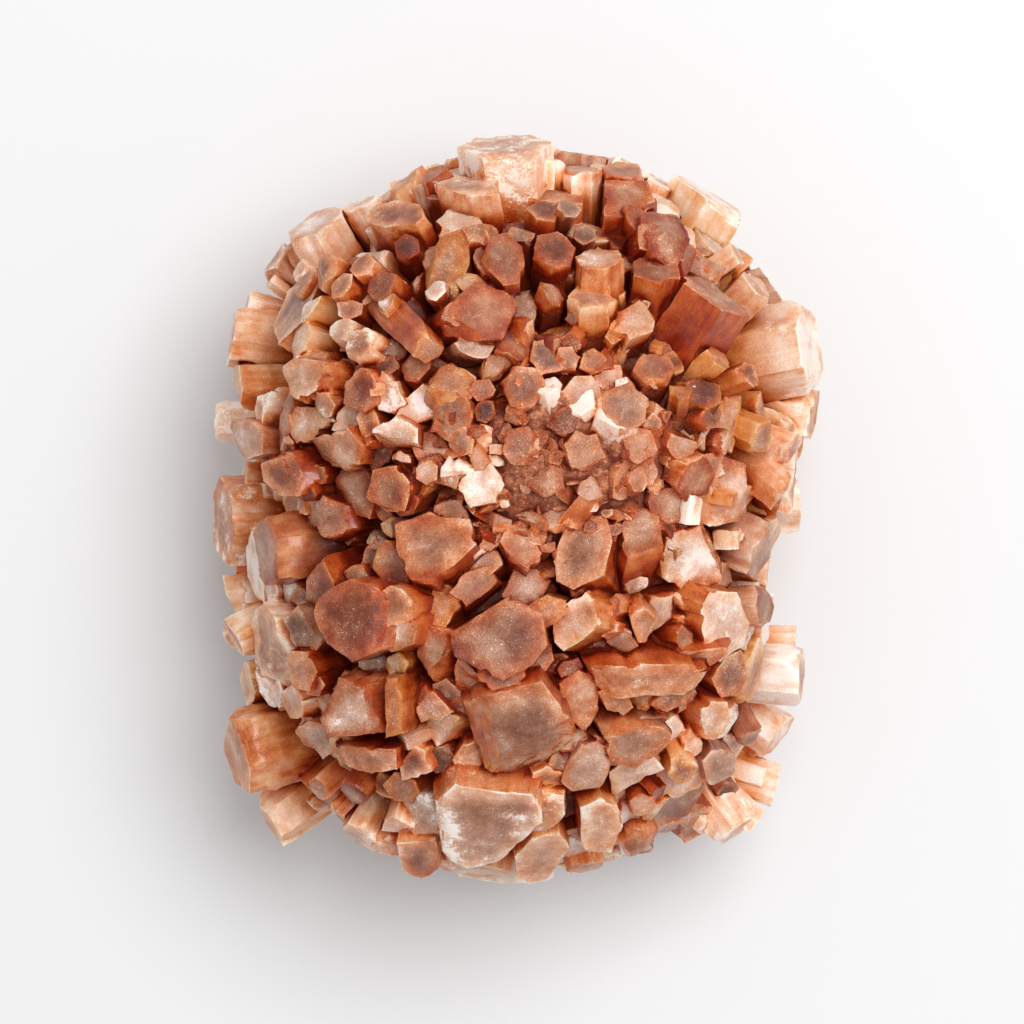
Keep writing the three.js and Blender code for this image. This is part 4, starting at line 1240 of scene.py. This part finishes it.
# %% What the stone is made of
# the noises, each on the crystal's own lengths, and what each point knows
stone = Board("aragonite")
stone.surface.subsurface_method = "BURLEY"
own = stone.known("own_place", "Vector")
mottle = stone.cloud(own, 2.6, 3, 0.5)
patch = stone.cloud(own, 3.2, 6, 0.7)
fine = stone.cloud(own, 0.16, 2, 0.7)
speck = stone.cloud(own, 0.12, 1)
streak = stone.cloud(stone.stretch(own, (1, 1, 0.06)), 0.8, 3, 0.55)
band = stone.cloud(stone.stretch(own, (0.3, 0.3, 1)), 1.8, 3, 0.5)
mood = stone.cloud(own, 14, 1)
on_face, fade, from_rim = stone.known("on_end"), stone.known("fade"), stone.known("rim")
inner, shade_and_dust = stone.known("inner"), stone.known("shelter")
frost, smoke, amber = stone.known("frost"), stone.known("smoke"), stone.known("amber")

# %% How pale the stone is
# the side: darker and redder from the tip down to the root, partly its own colour and partly
# painted shade and painted light passing through it, with growth lines along and across it
side_level, root_level = stone.known("side_level"), stone.known("root_level")
sunk = stone.ease(fade + mottle * 0.6 + streak * 0.5, 0.05, 0.95)
level_side = side_level + (root_level - side_level) * sunk
level_side = level_side + streak * 0.42 + band * 0.16 + mottle * 0.75 + fine * 0.34

# the end face: its middle is darker or paler than its edge, from crystal to crystal
inside = stone.ease(inner + mottle * 0.9 + fine * 0.1, 0, 0.95)
# a thin pale line round the end face and pale sharp corners: partly wear, partly a painted
# highlight
edge = stone.ease(from_rim + fine * 0.25, 0.24, 0.08) * stone.ease(mottle, -0.08, 0.1)
corner = stone.ease(stone.add("ShaderNodeNewGeometry", output="Pointiness"), 0.53, 0.6)
level_end = stone.known("end_level") + (inside - 0.5) * (mood - 0.03) * 1.9
level_end = level_end + patch * 1.05 + fine * 0.44 + edge * 0.16

# clouds of white, pale corners that are partly worn and partly a painted highlight, painted
# glints, and painted shade in the crevices
white = stone.ease(patch + (frost - 0.5) * 0.3 + fine * 0.25, 0.1, 0.25)
# painted glints: tiny pale specks, most on the end faces
painted_glint = stone.ease(speck + patch * 0.45, 0.19, 0.26)
level = level_side + (level_end - level_side) * on_face + white * (0.1 + frost * 0.3)
level = level + corner * (fine * 0.4 + 0.12) + painted_glint * (0.12 + on_face * 0.5)
# painted shade: darker where the point is enclosed
level = level - stone.ease(shade_and_dust + mottle * 0.15, 0.24, 0.8) * 0.31

# %% From pale and dark to colours
# iron on the end faces, fire or honey on the sides, smoke in the clear middles, dust in the hollow
honeyed = stone.ease(amber + mottle * 0.6 - 0.4, 0, 0.4)
body = stone.blend(honeyed, stone.ramp(level, FIRE), stone.ramp(level, HONEY))
frosted = on_face * 0.9 - (1 - inside) * 0.75 - mottle * 0.8 + smoke * 0.4 - amber * 0.3 + white
body = stone.blend(stone.ease(frosted, 0.05, 0.85), body, stone.ramp(level, IRON))
smoked = smoke * 0.65 + on_face * (inside - 0.45) * 0.7 + patch * 0.7 - 0.2
body = stone.blend(stone.ease(smoked, 0, 0.7), body, stone.ramp(level, SMOKE))
dust = stone.known("dusty") + mottle * 1.2 + fine * 0.7 + (shade_and_dust - 0.4) * 0.8
dust = stone.ease(dust, 0.3, 0.9)
body = stone.blend(dust * (0.75 - frost * 0.6), body, stone.ramp(fine * 1.2 + 0.5, IRON))

# %% Gloss, grain and glow
height = fine * (on_face * 0.6 + 0.15) + speck * 0.5 * on_face
height = height + streak * 0.5 + band * 0.2 + patch * 0.6
bumps = stone.add("ShaderNodeBump", None, {"Strength": 0.5, "Distance": 0.2 * MM, "Height": height})
dullness = fine * 0.4 + on_face * 0.3 + dust * 0.4
stone.join(stone.surface, {
    "Base Color": body,
    "Roughness": stone.ease(dullness, -0.05, 0.55, 0.2, 0.5),
    "Normal": bumps,
    "Subsurface Weight": 0.6,
    "Subsurface Radius": GLOW,
    "Subsurface Scale": MM,
    "IOR": 1.55,
    "Specular IOR Level": 0.4,
})
# painted shade: the most enclosed crevices turn a dull dark red without gloss
crevice_shade = stone.add("ShaderNodeBsdfDiffuse", None, {"Color": SHADE_RED}, output="BSDF")
crevice_shade_share = stone.ease(shade_and_dust + fine * 0.1, 0.6, 0.85)
mixed = stone.add("ShaderNodeMixShader", None, {0: crevice_shade_share, 1: stone.all(), 2: crevice_shade})
stone.finish(mixed)
print("nodes in the stone:", len(stone.tree.nodes))

# %% The crust's brick dust, with painted shade
red = Board("brick-red crust")
here = red.stretch(red.add("ShaderNodeTexCoord", output="Object"), (1 / MM, 1 / MM, 1 / MM))
lump = red.cloud(here, 1.5, 5, 0.65)
dot = red.cloud(here, 0.4, 4, 0.7)
brick, pale_brick, crumb, pit_shade = [
    (*colour(code), 1) for code in ("8e4226", "c87c56", "e8b896", "5e2214")
]
brick_dust_and_shade = red.blend(red.ease(lump, -0.15, 0.15), brick, pale_brick)
brick_dust_and_shade = red.blend(red.ease(dot, 0.05, 0.18, 0, 0.8), brick_dust_and_shade, crumb)
# painted shade: the lowest points of the bumps are dark
brick_dust_and_shade = red.blend(red.ease(dot, -0.04, -0.14, 0, 0.8), brick_dust_and_shade, pit_shade)
# painted shade: the crust turns dark red where it is enclosed
brick_dust_and_shade = red.blend(red.ease(red.known("shelter"), 0.3, 0.65, 0, 0.7), brick_dust_and_shade, SHADE_RED)
pits = {"Strength": 0.7, "Distance": 0.25 * MM, "Height": dot + lump}
red.join(red.surface, {
    "Base Color": brick_dust_and_shade,
    "Roughness": 0.8,
    "Normal": red.add("ShaderNodeBump", None, pits),
    "Subsurface Weight": 0.3,
    "Subsurface Radius": GLOW,
    "Subsurface Scale": 0.5 * MM,
})
print("nodes in the crust:", len(red.tree.nodes))

# %% [markdown]
# ## Put the pieces together
# The layers and the crust are one lump that never comes apart, so they all ride on the same node
# and replace the one solid. Faces that meet at less than 30 degrees are shaded as one rounded
# face, the rest keep the hard edge of a crystal.

# %% Skin and slot
SOFTEST_EDGE = math.radians(30)


def dress(piece, paint):
    """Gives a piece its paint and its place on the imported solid."""
    mesh = piece.data
    mesh.materials.clear()
    mesh.materials.append(paint)
    mesh.polygons.foreach_set("material_index", [0] * len(mesh.polygons))
    mesh.polygons.foreach_set("use_smooth", [True] * len(mesh.polygons))
    mesh.set_sharp_from_angle(angle=SOFTEST_EDGE)
    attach(piece, "root")
    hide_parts(NODE)


for piece in pieces:
    dress(piece, stone.material)
dress(crust, red.material)
print("dressed:", [piece.name for piece in [*pieces, crust]])

# %% [markdown]
# ## Floor, light and camera
# The cluster lies on a plain pale floor. One soft lamp stands high up to the right, and the rest
# of the room gives an even light, so that the sides away from the lamp keep their colour.

# %% The floor
FLOOR_REACH = 3
FLOOR_GREY = 0.82
floor_mesh = bpy.data.meshes.new("floor")
corners = [(x * FLOOR_REACH, y * FLOOR_REACH, 0) for x, y in ((-1, -1), (1, -1), (1, 1), (-1, 1))]
floor_mesh.from_pydata(corners, [], [(0, 1, 2, 3)])
floor = bpy.data.objects.new("floor", floor_mesh)
bpy.context.scene.collection.objects.link(floor)
board = Board("pale floor")
board.join(board.surface, {"Base Color": (FLOOR_GREY, FLOOR_GREY, FLOOR_GREY, 1), "Roughness": 0.9})
floor_mesh.materials.append(board.material)
print("floor:", 2 * FLOOR_REACH, "m across")

# %% The lamp and the room
LAMP_PLACE = (0.16, 0.14, 0.57)
LAMP_POWER = 2.65
LAMP_SIZE = 0.4
LAMP_AIM_HEIGHT = 0.02
ROOM_COLOUR = (0.96, 0.98, 1, 1)
ROOM_LIGHT = 0.58
lamp = bpy.data.lights.new("soft lamp", "AREA")
lamp.shape, lamp.size, lamp.energy = "DISK", LAMP_SIZE, LAMP_POWER
lamp_item = bpy.data.objects.new("soft lamp", lamp)
lamp_item.location = LAMP_PLACE
away = Vector(LAMP_PLACE) - Vector((0, 0, LAMP_AIM_HEIGHT))
lamp_item.rotation_euler = away.to_track_quat("Z", "Y").to_euler()
bpy.context.scene.collection.objects.link(lamp_item)
world = bpy.data.worlds.new("room")
bpy.context.scene.world = world
world.use_nodes = True
room_light = world.node_tree.nodes["Background"].inputs
room_light["Color"].default_value = ROOM_COLOUR
room_light["Strength"].default_value = ROOM_LIGHT
print("lamp:", LAMP_POWER, "W at", LAMP_PLACE)

# %% The camera, straight above
LENS = 150
SENSOR = 36
VIEW_WIDTH = 0.1024
SHARP_HEIGHT = 0.030
LEFT_OF_MIDDLE = 0.1
camera = bpy.data.cameras.new("camera")
camera.lens, camera.sensor_width = LENS, SENSOR
camera.clip_start, camera.clip_end = 0.01, 10
camera_item = bpy.data.objects.new("camera", camera)
camera_height = SHARP_HEIGHT + VIEW_WIDTH * LENS / SENSOR
camera_item.location = ((-LEFT_OF_MIDDLE - middle[0]) * MM, -middle[1] * MM, camera_height)
bpy.context.scene.collection.objects.link(camera_item)
bpy.context.scene.camera = camera_item
bpy.context.scene.view_settings.view_transform = "Standard"
print("camera:", round(camera_height, 3), "m up, and", VIEW_WIDTH, "m fill the picture")
